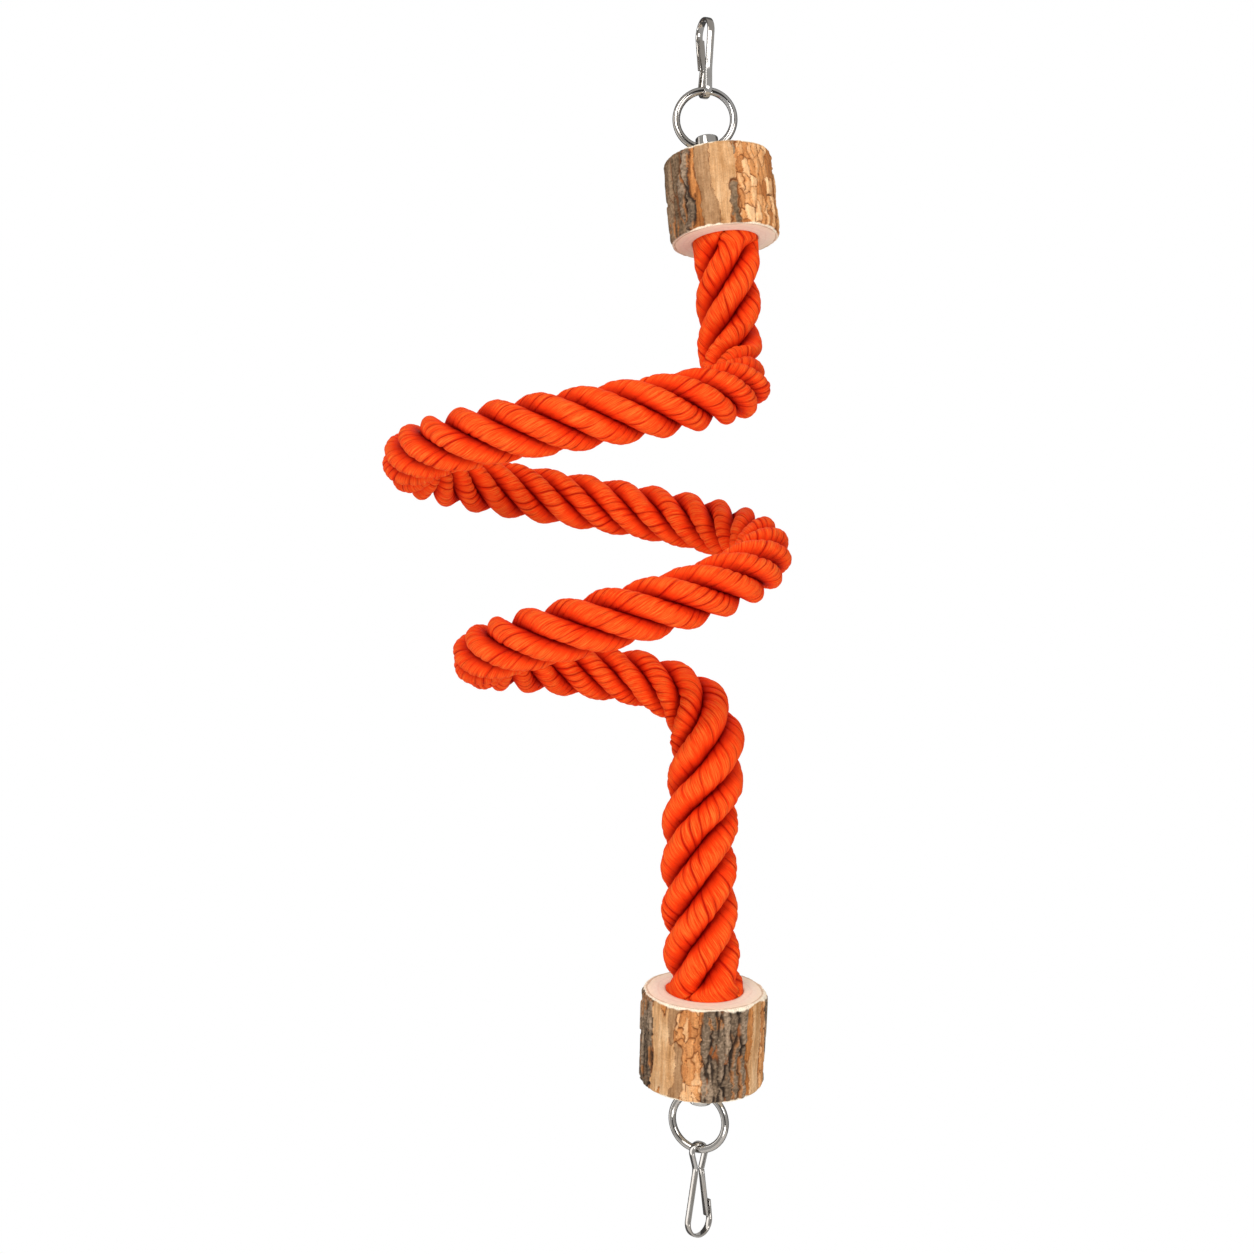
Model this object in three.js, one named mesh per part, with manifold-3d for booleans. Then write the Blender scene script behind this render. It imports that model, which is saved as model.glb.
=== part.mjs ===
// Hanging rope perch for pet birds: a coil of thick laid rope between two slices of log.
// Each log slice carries a steel stud, a ring and a snap hook. Millimetres, +Z up, front towards -Y.
// The origin is the seat inside the top snap hook's bow, where the toy hangs.
import * as THREE from "three";
import { mergeVertices } from "three/addons/utils/BufferGeometryUtils.js";
import Module from "manifold-3d";

// Clearances
const seatGap = 0.3; // between pieces that touch
const eyeSeatGap = 1.1; // ring's wire to the eye's end at the strip's middle, so that its edges clear
const ropeFit = 0.6; // rope to its socket, all round
const boreFit = 0.4; // core wire to the rope, all round
const boltFit = 0.3; // stud shank to the block, washer and nut, all round

// Snap hooks, bent from flat spring wire
const stripThickness = 2.8;
const stripWidth = 6.5;
const topHookLength = 74.5;
const topBackWaist = 8.1; // from the hook's middle to the middle of the back leg, at the waist
const topGateWaist = 4.5; // the same to the gate
const topTipReach = 46.5; // from the bow's end back to the tip's end
const topTipLean = 0; // degrees, how far the tip leans out from the line of the gate
const bottomHookLength = 89;
const bottomBackWaist = 3.6;
const bottomGateWaist = 3.6;
const bottomTipReach = 33;
const bottomTipLean = 2;
const bowWidth = 29.6; // across the outside
const eyeRoom = 3.2; // from the ring's wire to the eye, at the sides
const waistFromEye = 25.7; // from the eye's end to the waist, where the gate starts
const waistBend = 4; // half length of the back leg's bend at the waist
const waistStub = 1; // straight wire on each side of the hinge gap
const gateReach = 18; // from the bow's end back to the gate's free end
const gateTipGap = 0.5; // gate's free end to the tip
const gateHingeGap = 0.5; // at the waist, where the gate starts to bend

// Rings
const ringDiameter = 60; // outside
const ringWire = 7;

// Studs with a cross hole for the ring, bolted through the blocks
const studHeadDiameter = 21;
const studCapWall = 3.3; // over the mouth of the cross hole
const studHeadEdge = 1.5;
const shankDiameter = 12;
const ringStandoff = 9.3; // from the block's face to the ring's wire
const tailLength = 6; // of the shank, past the nut
const upperStudOffset = -8; // from the upper block's axis, to the left
const washerDiameter = 28;
const washerThickness = 2.5;
const nutAcrossFlats = 19;
const nutHeight = 10;
const nutSides = 6;

// Log slices
const upperBlockDiameter = 98;
const upperBlockHeight = 77;
const lowerBlockDiameter = 112;
const lowerBlockHeight = 87;
const blockWeb = 25; // wood left between the socket and the outer face
const blockEdge = 2.5; // eased edges
const socketEdge = 1.5;

// Rope and its core
const upperRopeDiameter = 60;
const coilRopeDiameter = 54;
const lowerRopeDiameter = 71;
const coreDiameter = 6;
const coreEndGap = 1; // from each of the rope's ends

// How the pieces hang
const topHookHeading = 111.5; // degrees from +X to the gate's side
const bottomHookHeading = 40;
const bottomRingHeading = -25;
const upperSideTilt = 5; // degrees, the stud's place round the top ring
const upperFrontTilt = 6; // degrees, the rope's end of the block towards the front
const lowerSideTilt = -1.7; // degrees, the outer end of the block to the right
const lowerFrontTilt = 7.5; // degrees, the rope's end of the block towards the front
const lowerRopeFace = new THREE.Vector3(-0.5, 0, -892.3); // centre of the lower block's top face

// Rope route. The coil goes from the right to the front, the left and the back, twice.
// It narrows downwards. Each list has a value for every half turn, from the right-hand end of the first.
const coilRadius = [148, 155, 145, 116, 98];
const coilCentre = [-116, -110, -95, -86, -92];
const coilHeight = [-337, -411, -491, -588, -640];
const coilDepthRatio = 0.81; // depth of the coil over its width
const coilFrontDrop = 12; // how far the front of each turn hangs under its sides
const coilMiddleY = -31;
const coilStart = 14; // degrees
const coilEnd = 650;
const coilStepsPerTurn = 30;
const upperRoute = [
  [20.3, -12, -236],
  [21, -12.6, -265],
  [21.7, -13.2, -294],
  [22.6, -20, -319],
  [25.3, -38, -336],
];
const lowerRoute = [
  [-13, 32, -628],
  [1, 18, -653],
  [2.5, 9, -680],
  [-1.5, 4.8, -716],
  [-5.5, 0.6, -752],
  [-5.6, -2, -800],
  [-4, -1.8, -850],
];
const upperCut = 0; // index in upperRoute where the upper stretch ends and the coil's tube starts
const upperBendStart = 2; // index where the bend into the coil starts
const lowerBendEnd = 2; // index in lowerRoute where the bend out of the coil ends
const lowerCut = 4; // index in lowerRoute where the coil's tube ends and the lower stretch starts

// Fineness
const roundSides = 24;
const ringSides = 36;
const ringWireSides = 8;
const ropeSides = 10;
const coreSides = 5;
const ropeStep = 19;
const holeSteps = 6;
const waistSteps = 4;
const cutOver = 1; // how far a cutter stands out of what it cuts
const bowStep = 12; // degrees

const wasm = await Module();
wasm.setup();

const steel = new THREE.MeshStandardMaterial({ color: 0xc9ccd0, roughness: 0.2, metalness: 1 });
const zinc = new THREE.MeshStandardMaterial({ color: 0xb4b7ba, roughness: 0.4, metalness: 1 });
const wood = new THREE.MeshStandardMaterial({ color: 0xb98a55, roughness: 0.85, metalness: 0 });
const cotton = new THREE.MeshStandardMaterial({ color: 0xf4511e, roughness: 0.9, metalness: 0 });

const up = new THREE.Vector3(0, 0, 1);
const down = new THREE.Vector3(0, 0, -1);
const front = new THREE.Vector3(0, -1, 0);
const radians = THREE.MathUtils.degToRad;

// A closed geometry as a solid for cutting.
function solidOf(geometry) {
  const bare = geometry.clone();
  bare.deleteAttribute("normal");
  bare.deleteAttribute("uv");
  const merged = mergeVertices(bare, 1e-3);
  return new wasm.Manifold(
    new wasm.Mesh({
      numProp: 3,
      vertProperties: merged.attributes.position.array,
      triVerts: new Uint32Array(merged.index.array),
    }),
  );
}

// A cut solid as a geometry.
function geometryOf(solid) {
  const mesh = solid.getMesh();
  const geometry = new THREE.BufferGeometry();
  geometry.setAttribute("position", new THREE.BufferAttribute(mesh.vertProperties, 3));
  geometry.setIndex(new THREE.BufferAttribute(mesh.triVerts, 1));
  geometry.computeVertexNormals();
  return geometry;
}

// A round piece about Z, from [radius, height] pairs that run upwards along the outside.
function turned(profile) {
  const points = profile.map(([radius, height]) => new THREE.Vector2(radius, height));
  return new THREE.LatheGeometry(points, roundSides).rotateX(Math.PI / 2);
}

// The same, for a profile that closes on itself round an open middle.
function turnedRing(profile) {
  return turned([...profile, profile[0]]);
}

function named(name, geometry, material) {
  const mesh = new THREE.Mesh(geometry, material);
  mesh.name = name;
  return mesh;
}

// A group whose X and Z point along the given directions.
function frameAt(position, xAxis, zAxis) {
  const yAxis = new THREE.Vector3().crossVectors(zAxis, xAxis);
  const group = new THREE.Group();
  group.quaternion.setFromRotationMatrix(new THREE.Matrix4().makeBasis(xAxis, yAxis, zAxis));
  group.position.copy(position);
  return group;
}

// A level direction, in degrees from +X towards the back.
function level(heading) {
  return new THREE.Vector3(Math.cos(radians(heading)), Math.sin(radians(heading)), 0);
}

// The part of a direction that is square to an axis.
function squareTo(direction, axis) {
  return direction.clone().addScaledVector(axis, -direction.dot(axis)).normalize();
}

// Snap hook

const halfStrip = stripThickness / 2;
const eyeInnerRadius = ringWire / 2 + eyeRoom;
const eyeRadius = eyeInnerRadius + halfStrip;
const eyeCentre = eyeRadius + halfStrip;
const bowRadius = (bowWidth - stripThickness) / 2;
const gateStart = waistFromEye + gateHingeGap;
const gateFoot = gateStart + waistStub; // where the gate leaves the waist, from the eye's end
const topHook = {
  length: topHookLength,
  backWaist: topBackWaist,
  gateWaist: topGateWaist,
  tipReach: topTipReach,
  tipLean: gateAngle(topHookLength, topGateWaist) - radians(topTipLean),
};
const bottomHook = {
  length: bottomHookLength,
  backWaist: bottomBackWaist,
  gateWaist: bottomGateWaist,
  tipReach: bottomTipReach,
  tipLean: gateAngle(bottomHookLength, bottomGateWaist) - radians(bottomTipLean),
};
const wireInEye = stripThickness + eyeSeatGap + ringWire / 2; // ring wire's centre, from the eye's end

function bowCentre(length) {
  return length - halfStrip - bowRadius;
}

// The angle between the hook's middle line and a gate that lies along the tip with their gap.
function gateAngle(length, gateWaist) {
  const rise = bowCentre(length) - gateFoot;
  const room = bowRadius - stripThickness - gateTipGap;
  return Math.asin(room / Math.hypot(gateWaist, rise)) - Math.atan2(gateWaist, rise);
}

// The flat in the middle of the bow's inside, from the eye's end.
function bowSeat(length) {
  return bowCentre(length) + (bowRadius - halfStrip) * Math.cos(radians(bowStep / 2));
}

function onCircle(centre, radius, angle) {
  return new THREE.Vector2(radius * Math.cos(angle), centre + radius * Math.sin(angle));
}

// Angles from first to last in steps of at most the bow's step.
function sweep(first, last) {
  const count = Math.ceil(Math.abs(last - first) / radians(bowStep));
  return Array.from({ length: count + 1 }, (_, i) => first + ((last - first) * i) / count);
}

// The angle at which a line from a point touches a circle on the hook's middle line.
function tangentAngle(point, centre, radius) {
  const away = new THREE.Vector2(0, centre).sub(point);
  return Math.atan2(-away.y, -away.x) - Math.acos(radius / away.length());
}

// From the hook's middle to the middle of the tip, at a distance from the eye's end.
function tipOffset({ length, tipLean }, at) {
  return bowRadius / Math.cos(tipLean) - (bowCentre(length) - at) * Math.tan(tipLean);
}

// Middle line of the fixed wire: round the eye from the gate's side, along the back leg and round the bow.
function hookLine(sizes) {
  const { length, backWaist, gateWaist, tipReach, tipLean } = sizes;
  const waistEnd = new THREE.Vector2(gateWaist, waistFromEye);
  const waistOut = new THREE.Vector2(gateWaist, waistFromEye - waistStub);
  const waistIn = new THREE.Vector2(-backWaist, waistFromEye);
  const gateTurn = tangentAngle(waistOut, eyeCentre, eyeRadius);
  const backTurn = tangentAngle(new THREE.Vector2(backWaist, waistFromEye), eyeCentre, eyeRadius);
  const eye = sweep(gateTurn, -Math.PI - backTurn).map((a) => onCircle(eyeCentre, eyeRadius, a));
  const centre = bowCentre(length);
  const legTurn = tangentAngle(waistIn, centre, bowRadius) + 2 * Math.PI;
  const half = radians(bowStep) / 2;
  const bow = [
    ...sweep(legTurn, Math.PI / 2 + half),
    ...sweep(Math.PI / 2 - half, -tipLean),
  ].map((a) => onCircle(centre, bowRadius, a));
  const before = eye.at(-1).clone().sub(waistIn).setLength(waistBend).add(waistIn);
  const after = bow[0].clone().sub(waistIn).setLength(waistBend).add(waistIn);
  const bend = new THREE.QuadraticBezierCurve(before, waistIn, after).getPoints(waistSteps);
  const tip = new THREE.Vector2(tipOffset(sizes, length - tipReach), length - tipReach);
  return [waistEnd, waistOut, ...eye, ...bend, ...bow, tip];
}

// Middle line of the gate, from the waist to its free end inside the tip.
function gateLine(sizes) {
  const { length, gateWaist, tipLean } = sizes;
  const inside = (stripThickness + gateTipGap) / Math.cos(tipLean);
  const end = new THREE.Vector2(tipOffset(sizes, length - gateReach) - inside, length - gateReach);
  return [new THREE.Vector2(gateWaist, gateStart), new THREE.Vector2(gateWaist, gateFoot), end];
}

// Flat wire along a middle line in the XY plane, its width along Z.
function strip(line) {
  const side = line.map((point, i) => {
    const back = point.clone().sub(line[Math.max(i - 1, 0)]).normalize();
    const ahead = line[Math.min(i + 1, line.length - 1)].clone().sub(point).normalize();
    const along = back.add(ahead).normalize();
    const stretch = i > 0 && i < line.length - 1 ? 1 / Math.max(along.dot(ahead), 0.5) : 1;
    return new THREE.Vector2(-along.y, along.x).multiplyScalar(halfStrip * stretch);
  });
  const left = line.map((point, i) => point.clone().add(side[i]));
  const right = line.map((point, i) => point.clone().sub(side[i]));
  const outline = new THREE.Shape([...left, ...right.reverse()]);
  const geometry = new THREE.ExtrudeGeometry(outline, { depth: stripWidth, bevelEnabled: false });
  return geometry.translate(0, 0, -stripWidth / 2);
}

// A hook whose eye's end is at a point, with its gate's side and its bow in the given directions.
function snapHook(prefix, sizes, eyeEnd, gateSide, bowWay) {
  const group = frameAt(eyeEnd, gateSide, new THREE.Vector3().crossVectors(gateSide, bowWay));
  group.add(named(`${prefix}_hook_body`, strip(hookLine(sizes)), steel));
  group.add(named(`${prefix}_hook_gate`, strip(gateLine(sizes)), steel));
  return group;
}

// Ring

const ringRadius = (ringDiameter - ringWire) / 2;

function ring(name, centre, axis) {
  const geometry = new THREE.TorusGeometry(ringRadius, ringWire / 2, ringWireSides, ringSides);
  const mesh = named(name, geometry, steel);
  mesh.quaternion.setFromUnitVectors(up, axis);
  mesh.position.copy(centre);
  return mesh;
}

// Block with its stud, washer and nut, in a frame with the rope's face at 0 and the outer face up

const holeHeight = ringStandoff + ringWire / 2;
const headRadius = studHeadDiameter / 2;
const shankRadius = shankDiameter / 2;
const coreRadius = coreDiameter / 2;

// Radius of the cross hole at a distance from its middle: the inner edge of the ring's wire, and a gap.
function holeRadius(along) {
  return ringRadius - Math.sqrt((ringRadius - ringWire / 2 - seatGap) ** 2 - along ** 2);
}

// Cross hole that follows the ring's curve on every side, so that the ring can tilt in it.
function crossHole() {
  const reach = headRadius + cutOver;
  const profile = [[0, -reach]];
  for (let i = 0; i <= holeSteps; i += 1) {
    const along = -reach + (2 * reach * i) / holeSteps;
    profile.push([holeRadius(along), along]);
  }
  profile.push([0, reach]);
  return turned(profile).rotateY(Math.PI / 2);
}

const shankBelow = 2 * seatGap + washerThickness + nutHeight + tailLength; // past the socket's floor
const ropeEndGap = shankBelow + seatGap; // from the socket's floor to the rope's end

function stud(blockHeight) {
  const seat = blockHeight + seatGap;
  const top = blockHeight + holeHeight + holeRadius(headRadius) + studCapWall;
  const tailEnd = blockHeight - blockWeb - shankBelow;
  const body = turned([
    [0, tailEnd],
    [shankRadius, tailEnd],
    [shankRadius, seat],
    [headRadius, seat],
    [headRadius, top - studHeadEdge],
    [headRadius - studHeadEdge, top],
    [0, top],
  ]);
  const hole = crossHole().translate(0, 0, blockHeight + holeHeight);
  return geometryOf(solidOf(body).subtract(solidOf(hole)));
}

// A slice of log with the rope's socket on its axis and the stud's hole beside it.
function block(diameter, height, ropeDiameter, studOffset) {
  const radius = diameter / 2;
  const socket = ropeDiameter / 2 + ropeFit;
  const floor = height - blockWeb;
  const bolt = shankRadius + boltFit;
  const log = turned([
    [0, floor],
    [socket, floor],
    [socket, socketEdge],
    [socket + socketEdge, 0],
    [radius - blockEdge, 0],
    [radius, blockEdge],
    [radius, height - blockEdge],
    [radius - blockEdge, height],
    [0, height],
  ]);
  const hole = turned([
    [0, floor - cutOver],
    [bolt, floor - cutOver],
    [bolt, height + cutOver],
    [0, height + cutOver],
  ]);
  return geometryOf(solidOf(log).subtract(solidOf(hole.translate(studOffset, 0, 0))));
}

function washer() {
  const outer = washerDiameter / 2;
  const inner = shankRadius + boltFit;
  return turnedRing([
    [inner, 0],
    [outer, 0],
    [outer, washerThickness],
    [inner, washerThickness],
  ]);
}

function nut() {
  const turn = (2 * Math.PI) / nutSides;
  const corner = nutAcrossFlats / (2 * Math.cos(turn / 2));
  const corners = Array.from({ length: nutSides }, (_, i) => onCircle(0, corner, i * turn));
  const outline = new THREE.Shape(corners);
  outline.holes.push(new THREE.Path().absarc(0, 0, shankRadius + boltFit, 0, 2 * Math.PI, true));
  return new THREE.ExtrudeGeometry(outline, {
    depth: nutHeight,
    bevelEnabled: false,
    curveSegments: roundSides / 4,
  });
}

// One end of the toy: the block's node is named after its place, the fittings after the stud's.
function endFittings(place, prefix, diameter, height, ropeDiameter, studOffset, frame) {
  const floor = height - blockWeb;
  const studMesh = named(`${prefix}_stud`, stud(height), steel);
  const washerMesh = named(`${prefix}_washer`, washer(), zinc);
  washerMesh.position.z = floor - seatGap - washerThickness;
  const nutMesh = named(`${prefix}_nut`, nut(), zinc);
  nutMesh.position.z = washerMesh.position.z - seatGap - nutHeight;
  const fittings = new THREE.Group();
  fittings.position.x = studOffset;
  fittings.add(studMesh, washerMesh, nutMesh);
  frame.add(named(`${place}_block`, block(diameter, height, ropeDiameter, studOffset), wood), fittings);
  return frame;
}

// Where everything hangs, from the top hook down to the upper block

const topGateSide = level(topHookHeading);
const topEyeEnd = new THREE.Vector3(0, 0, -bowSeat(topHookLength));
const topWire = topEyeEnd.clone().addScaledVector(up, wireInEye);
const topRingCentre = topWire.clone().addScaledVector(down, ringRadius);
const sideTilt = radians(upperSideTilt);
const upperRadial = new THREE.Vector3(Math.sin(sideTilt), 0, -Math.cos(sideTilt));
const upperHoleAxis = new THREE.Vector3(-upperRadial.z, 0, upperRadial.x);
const upperHole = topRingCentre.clone().addScaledVector(upperRadial, ringRadius);
const upperWay = upperRadial
  .clone()
  .multiplyScalar(Math.cos(radians(upperFrontTilt)))
  .addScaledVector(front, Math.sin(radians(upperFrontTilt)));
const upperRopeFace = upperHole
  .clone()
  .addScaledVector(upperWay, holeHeight + upperBlockHeight)
  .addScaledVector(upperHoleAxis, -upperStudOffset);
const upperFrame = frameAt(upperRopeFace, upperHoleAxis, upperWay.clone().negate());

// The lower end, from the lower block down to the bottom hook

const lowerWay = new THREE.Vector3(
  Math.tan(radians(lowerSideTilt)),
  Math.tan(radians(lowerFrontTilt)),
  -1,
).normalize();
const lowerHoleAxis = squareTo(level(bottomRingHeading), lowerWay);
const lowerHole = lowerRopeFace.clone().addScaledVector(lowerWay, lowerBlockHeight + holeHeight);
const lowerFrame = frameAt(lowerRopeFace, lowerHoleAxis, lowerWay);
const bottomRingAxis = new THREE.Vector3().crossVectors(lowerHoleAxis, down).normalize();
const bottomRingCentre = lowerHole.clone().addScaledVector(squareTo(down, lowerHoleAxis), ringRadius);
const bottomWire = bottomRingCentre.clone().addScaledVector(down, ringRadius);
const bottomEyeEnd = bottomWire.clone().addScaledVector(up, wireInEye);
const bottomGateSide = level(bottomHookHeading);

// Rope

// The coil's middle line at an angle in degrees, counted from the right towards the front.
const coilSizes = new THREE.CatmullRomCurve3(
  coilRadius.map((radius, i) => new THREE.Vector3(radius, coilCentre[i], coilHeight[i])),
);
function coilPoint(angle) {
  const sizes = coilSizes.getPoint(angle / 180 / (coilRadius.length - 1));
  const x = sizes.y + sizes.x * Math.cos(radians(angle));
  const forward = Math.sin(radians(angle));
  const y = coilMiddleY - coilDepthRatio * sizes.x * forward;
  return new THREE.Vector3(x, y, sizes.z - coilFrontDrop * forward);
}

function socketDepth(blockHeight) {
  return blockHeight - blockWeb;
}

// A point on a block's axis, at a depth in its socket.
function inSocket(face, way, depth) {
  return face.clone().addScaledVector(way, depth);
}

const upperInsertion = socketDepth(upperBlockHeight) - ropeEndGap;
const lowerInsertion = socketDepth(lowerBlockHeight) - ropeEndGap;
const intoUpper = upperWay.clone().negate();
const upperPoints = upperRoute.map((point) => new THREE.Vector3(...point));
const lowerPoints = lowerRoute.map((point) => new THREE.Vector3(...point));
const coilCount = Math.round(((coilEnd - coilStart) / 360) * coilStepsPerTurn);
const coilPoints = Array.from({ length: coilCount + 1 }, (_, i) =>
  coilPoint(coilStart + ((coilEnd - coilStart) * i) / coilCount),
);
const route = new THREE.CatmullRomCurve3(
  [
    inSocket(upperRopeFace, intoUpper, upperInsertion),
    inSocket(upperRopeFace, intoUpper, upperInsertion / 2),
    upperRopeFace,
    ...upperPoints,
    ...coilPoints,
    ...lowerPoints,
    lowerRopeFace,
    inSocket(lowerRopeFace, lowerWay, lowerInsertion / 2),
    inSocket(lowerRopeFace, lowerWay, lowerInsertion),
  ],
  false,
  "centripetal",
);
route.arcLengthDivisions = 2000;

// Length along the route to the point nearest a given one.
function lengthTo(target) {
  const count = route.arcLengthDivisions;
  let best = 0;
  let least = Infinity;
  for (let i = 0; i <= count; i += 1) {
    const distance = route.getPointAt(i / count).distanceTo(target);
    if (distance < least) {
      least = distance;
      best = i;
    }
  }
  return (best / count) * route.getLength();
}

const routeLength = route.getLength();
const upperCutAt = lengthTo(upperPoints[upperCut]);
const lowerCutAt = lengthTo(lowerPoints[lowerCut]);
const coilFrom = lengthTo(coilPoints[0]);
const coilTo = lengthTo(coilPoints.at(-1));
const upperBendFrom = lengthTo(upperPoints[upperBendStart]);
const lowerBendTo = lengthTo(lowerPoints[lowerBendEnd]);

// Rope's radius along the route: full at the ends, drawn tighter in the coil.
function ropeRadius(at) {
  const intoCoil = THREE.MathUtils.smoothstep(at, upperBendFrom, coilFrom);
  const outOfCoil = THREE.MathUtils.smoothstep(at, coilTo, lowerBendTo);
  const upper = THREE.MathUtils.lerp(upperRopeDiameter, coilRopeDiameter, intoCoil);
  return THREE.MathUtils.lerp(upper, lowerRopeDiameter, outOfCoil) / 2;
}

// Even steps from one length to another.
function stations(from, to) {
  const count = Math.ceil((to - from) / ropeStep);
  return Array.from({ length: count + 1 }, (_, i) => from + ((to - from) * i) / count);
}

const upperStations = stations(0, upperCutAt - seatGap / 2);
const coilStations = stations(upperCutAt + seatGap / 2, lowerCutAt - seatGap / 2);
const lowerStations = stations(lowerCutAt + seatGap / 2, routeLength);
const coreStations = [
  coreEndGap,
  ...upperStations.slice(1),
  ...coilStations,
  ...lowerStations.slice(0, -1),
  routeLength - coreEndGap,
];
const allStations = [0, ...coreStations, routeLength];

// One frame at each station, turned as little as possible from the last.
const frames = new Map();
let across = new THREE.Vector3(1, 0, 0);
for (const at of allStations) {
  const centre = route.getPointAt(at / routeLength);
  const along = route.getTangentAt(at / routeLength);
  across = squareTo(across, along);
  frames.set(at, { centre, across, beside: new THREE.Vector3().crossVectors(along, across) });
}

// A loop of points round a station.
function loop(at, radius, sides) {
  const { centre, across: x, beside: y } = frames.get(at);
  return Array.from({ length: sides }, (_, i) => {
    const angle = (2 * Math.PI * i) / sides;
    return centre
      .clone()
      .addScaledVector(x, radius * Math.cos(angle))
      .addScaledVector(y, radius * Math.sin(angle));
  });
}

// A closed skin over loops of equal count, in order, with the first and last loop joined or capped.
function skin(loops, ringShaped) {
  const sides = loops[0].length;
  const points = loops.flat();
  const index = [];
  const rows = ringShaped ? loops.length : loops.length - 1;
  for (let row = 0; row < rows; row += 1) {
    const here = row * sides;
    const next = ((row + 1) % loops.length) * sides;
    for (let i = 0; i < sides; i += 1) {
      const j = (i + 1) % sides;
      index.push(here + i, here + j, next + j, here + i, next + j, next + i);
    }
  }
  if (!ringShaped) {
    const last = (loops.length - 1) * sides;
    for (let i = 1; i < sides - 1; i += 1) {
      index.push(0, i + 1, i, last, last + i, last + i + 1);
    }
  }
  const geometry = new THREE.BufferGeometry().setFromPoints(points);
  geometry.setIndex(index);
  geometry.computeVertexNormals();
  return geometry;
}

// A stretch of rope with the bore for its core: out along the outside, back along the bore.
function ropeTube(along) {
  const outside = along.map((at) => loop(at, ropeRadius(at), ropeSides));
  const bore = along.map((at) => loop(at, coreRadius + boreFit, ropeSides));
  return skin([...outside, ...bore.reverse()], true);
}

function coreWire() {
  return skin(coreStations.map((at) => loop(at, coreRadius, coreSides)), false);
}

// Least gap between the coil's turns, measured between points of its middle line.
function leastGap() {
  const apart = 2.5 * lowerRopeDiameter; // nearer along the rope, points belong to one bend
  let least = Infinity;
  for (const a of coilStations) {
    for (const b of coilStations) {
      if (b - a > apart) {
        const distance = frames.get(a).centre.distanceTo(frames.get(b).centre);
        least = Math.min(least, distance - ropeRadius(a) - ropeRadius(b));
      }
    }
  }
  return least;
}

console.log(`coil's least gap to itself: ${leastGap().toFixed(1)} mm`);
console.log(`rope length: ${routeLength.toFixed(0)} mm`);

const toy = new THREE.Group();
toy.add(
  snapHook("top", topHook, topEyeEnd, topGateSide, up),
  ring("top_ring", topRingCentre, front),
  endFittings(
    "upper",
    "top",
    upperBlockDiameter,
    upperBlockHeight,
    upperRopeDiameter,
    upperStudOffset,
    upperFrame,
  ),
  named("rope_upper_stretch", ropeTube(upperStations), cotton),
  named("rope_coil", ropeTube(coilStations), cotton),
  named("rope_lower_stretch", ropeTube(lowerStations), cotton),
  named("core_wire", coreWire(), zinc),
  endFittings("lower", "bottom", lowerBlockDiameter, lowerBlockHeight, lowerRopeDiameter, 0, lowerFrame),
  ring("bottom_ring", bottomRingCentre, bottomRingAxis),
  snapHook("bottom", bottomHook, bottomEyeEnd, bottomGateSide, down),
);

export default toy;
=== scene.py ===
"""Looks of a rope perch for birds: a coil of laid rope hung between two slices of log.

Lengths are in metres. The toy hangs from the origin, +Z is up and the viewer stands at -Y.
"""

import logging
import math
from abc import ABC, abstractmethod
from collections.abc import Sequence
from dataclasses import dataclass
from enum import Enum
from functools import partial
from typing import ClassVar

import bmesh
import bpy
import numpy as np
from bpy.types import ID, Material, Mesh, Node, NodeSocket, NodeTree, Object
from mathutils import Matrix, Vector
from numpy.typing import NDArray


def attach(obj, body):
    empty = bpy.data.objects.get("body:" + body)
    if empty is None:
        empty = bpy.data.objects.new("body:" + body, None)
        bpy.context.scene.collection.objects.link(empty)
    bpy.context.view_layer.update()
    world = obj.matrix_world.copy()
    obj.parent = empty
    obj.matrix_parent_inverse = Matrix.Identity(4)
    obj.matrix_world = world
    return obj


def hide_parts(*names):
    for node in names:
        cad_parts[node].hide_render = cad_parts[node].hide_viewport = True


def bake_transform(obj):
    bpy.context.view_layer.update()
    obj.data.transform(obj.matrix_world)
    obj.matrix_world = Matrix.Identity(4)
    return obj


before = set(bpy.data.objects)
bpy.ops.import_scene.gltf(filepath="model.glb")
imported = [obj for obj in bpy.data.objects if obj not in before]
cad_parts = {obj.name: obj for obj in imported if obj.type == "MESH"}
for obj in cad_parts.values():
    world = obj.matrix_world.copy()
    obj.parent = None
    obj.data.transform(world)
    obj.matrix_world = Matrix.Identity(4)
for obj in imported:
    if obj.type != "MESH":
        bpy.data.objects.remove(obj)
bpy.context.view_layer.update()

LOG = logging.getLogger("rope_perch")
FULL_TURN = 2 * math.pi
MILLIMETRES = 1000  # in a metre
SOCKET_WEB = 0.025  # wood between a block's rope socket and its outer end
RING_RADIUS = 0.0265  # of the wire's middle line

Array = NDArray[np.float64]
Indices = NDArray[np.int64]
Pair = tuple[float, float]
Triple = tuple[float, float, float]
Span = tuple[float, float, float, float]
Shade = tuple[int, int, int]
Colour = tuple[float, float, float, float]
Inputs = dict[str, object]


def srgb(*shade: int) -> Colour:
    """Turns a colour as seen on a screen, each part 0 to 255, into a linear one with full alpha."""
    parts = [value / 255 for value in shade]
    return (*(p / 12.92 if p <= 0.04045 else ((p + 0.055) / 1.055) ** 2.4 for p in parts), 1.0)


def unit(vectors: Sequence[float] | Array) -> Array:
    """Scales a vector, or each row of vectors, to length one."""
    array = np.asarray(vectors, dtype=float)
    return array / np.linalg.norm(array, axis=-1, keepdims=True)


def ease(low: float, high: float, value: Array) -> Array:
    """Rises smoothly from 0 at the low value to 1 at the high one."""
    part = np.clip((value - low) / (high - low), 0.0, 1.0)
    return part * part * (3 - 2 * part)


def circle(sides: int) -> Array:
    """Lists the cosine and sine of even steps round a circle, one step per row."""
    angle = np.linspace(0, FULL_TURN, sides, endpoint=False)
    return np.stack([np.cos(angle), np.sin(angle)], axis=1)


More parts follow.
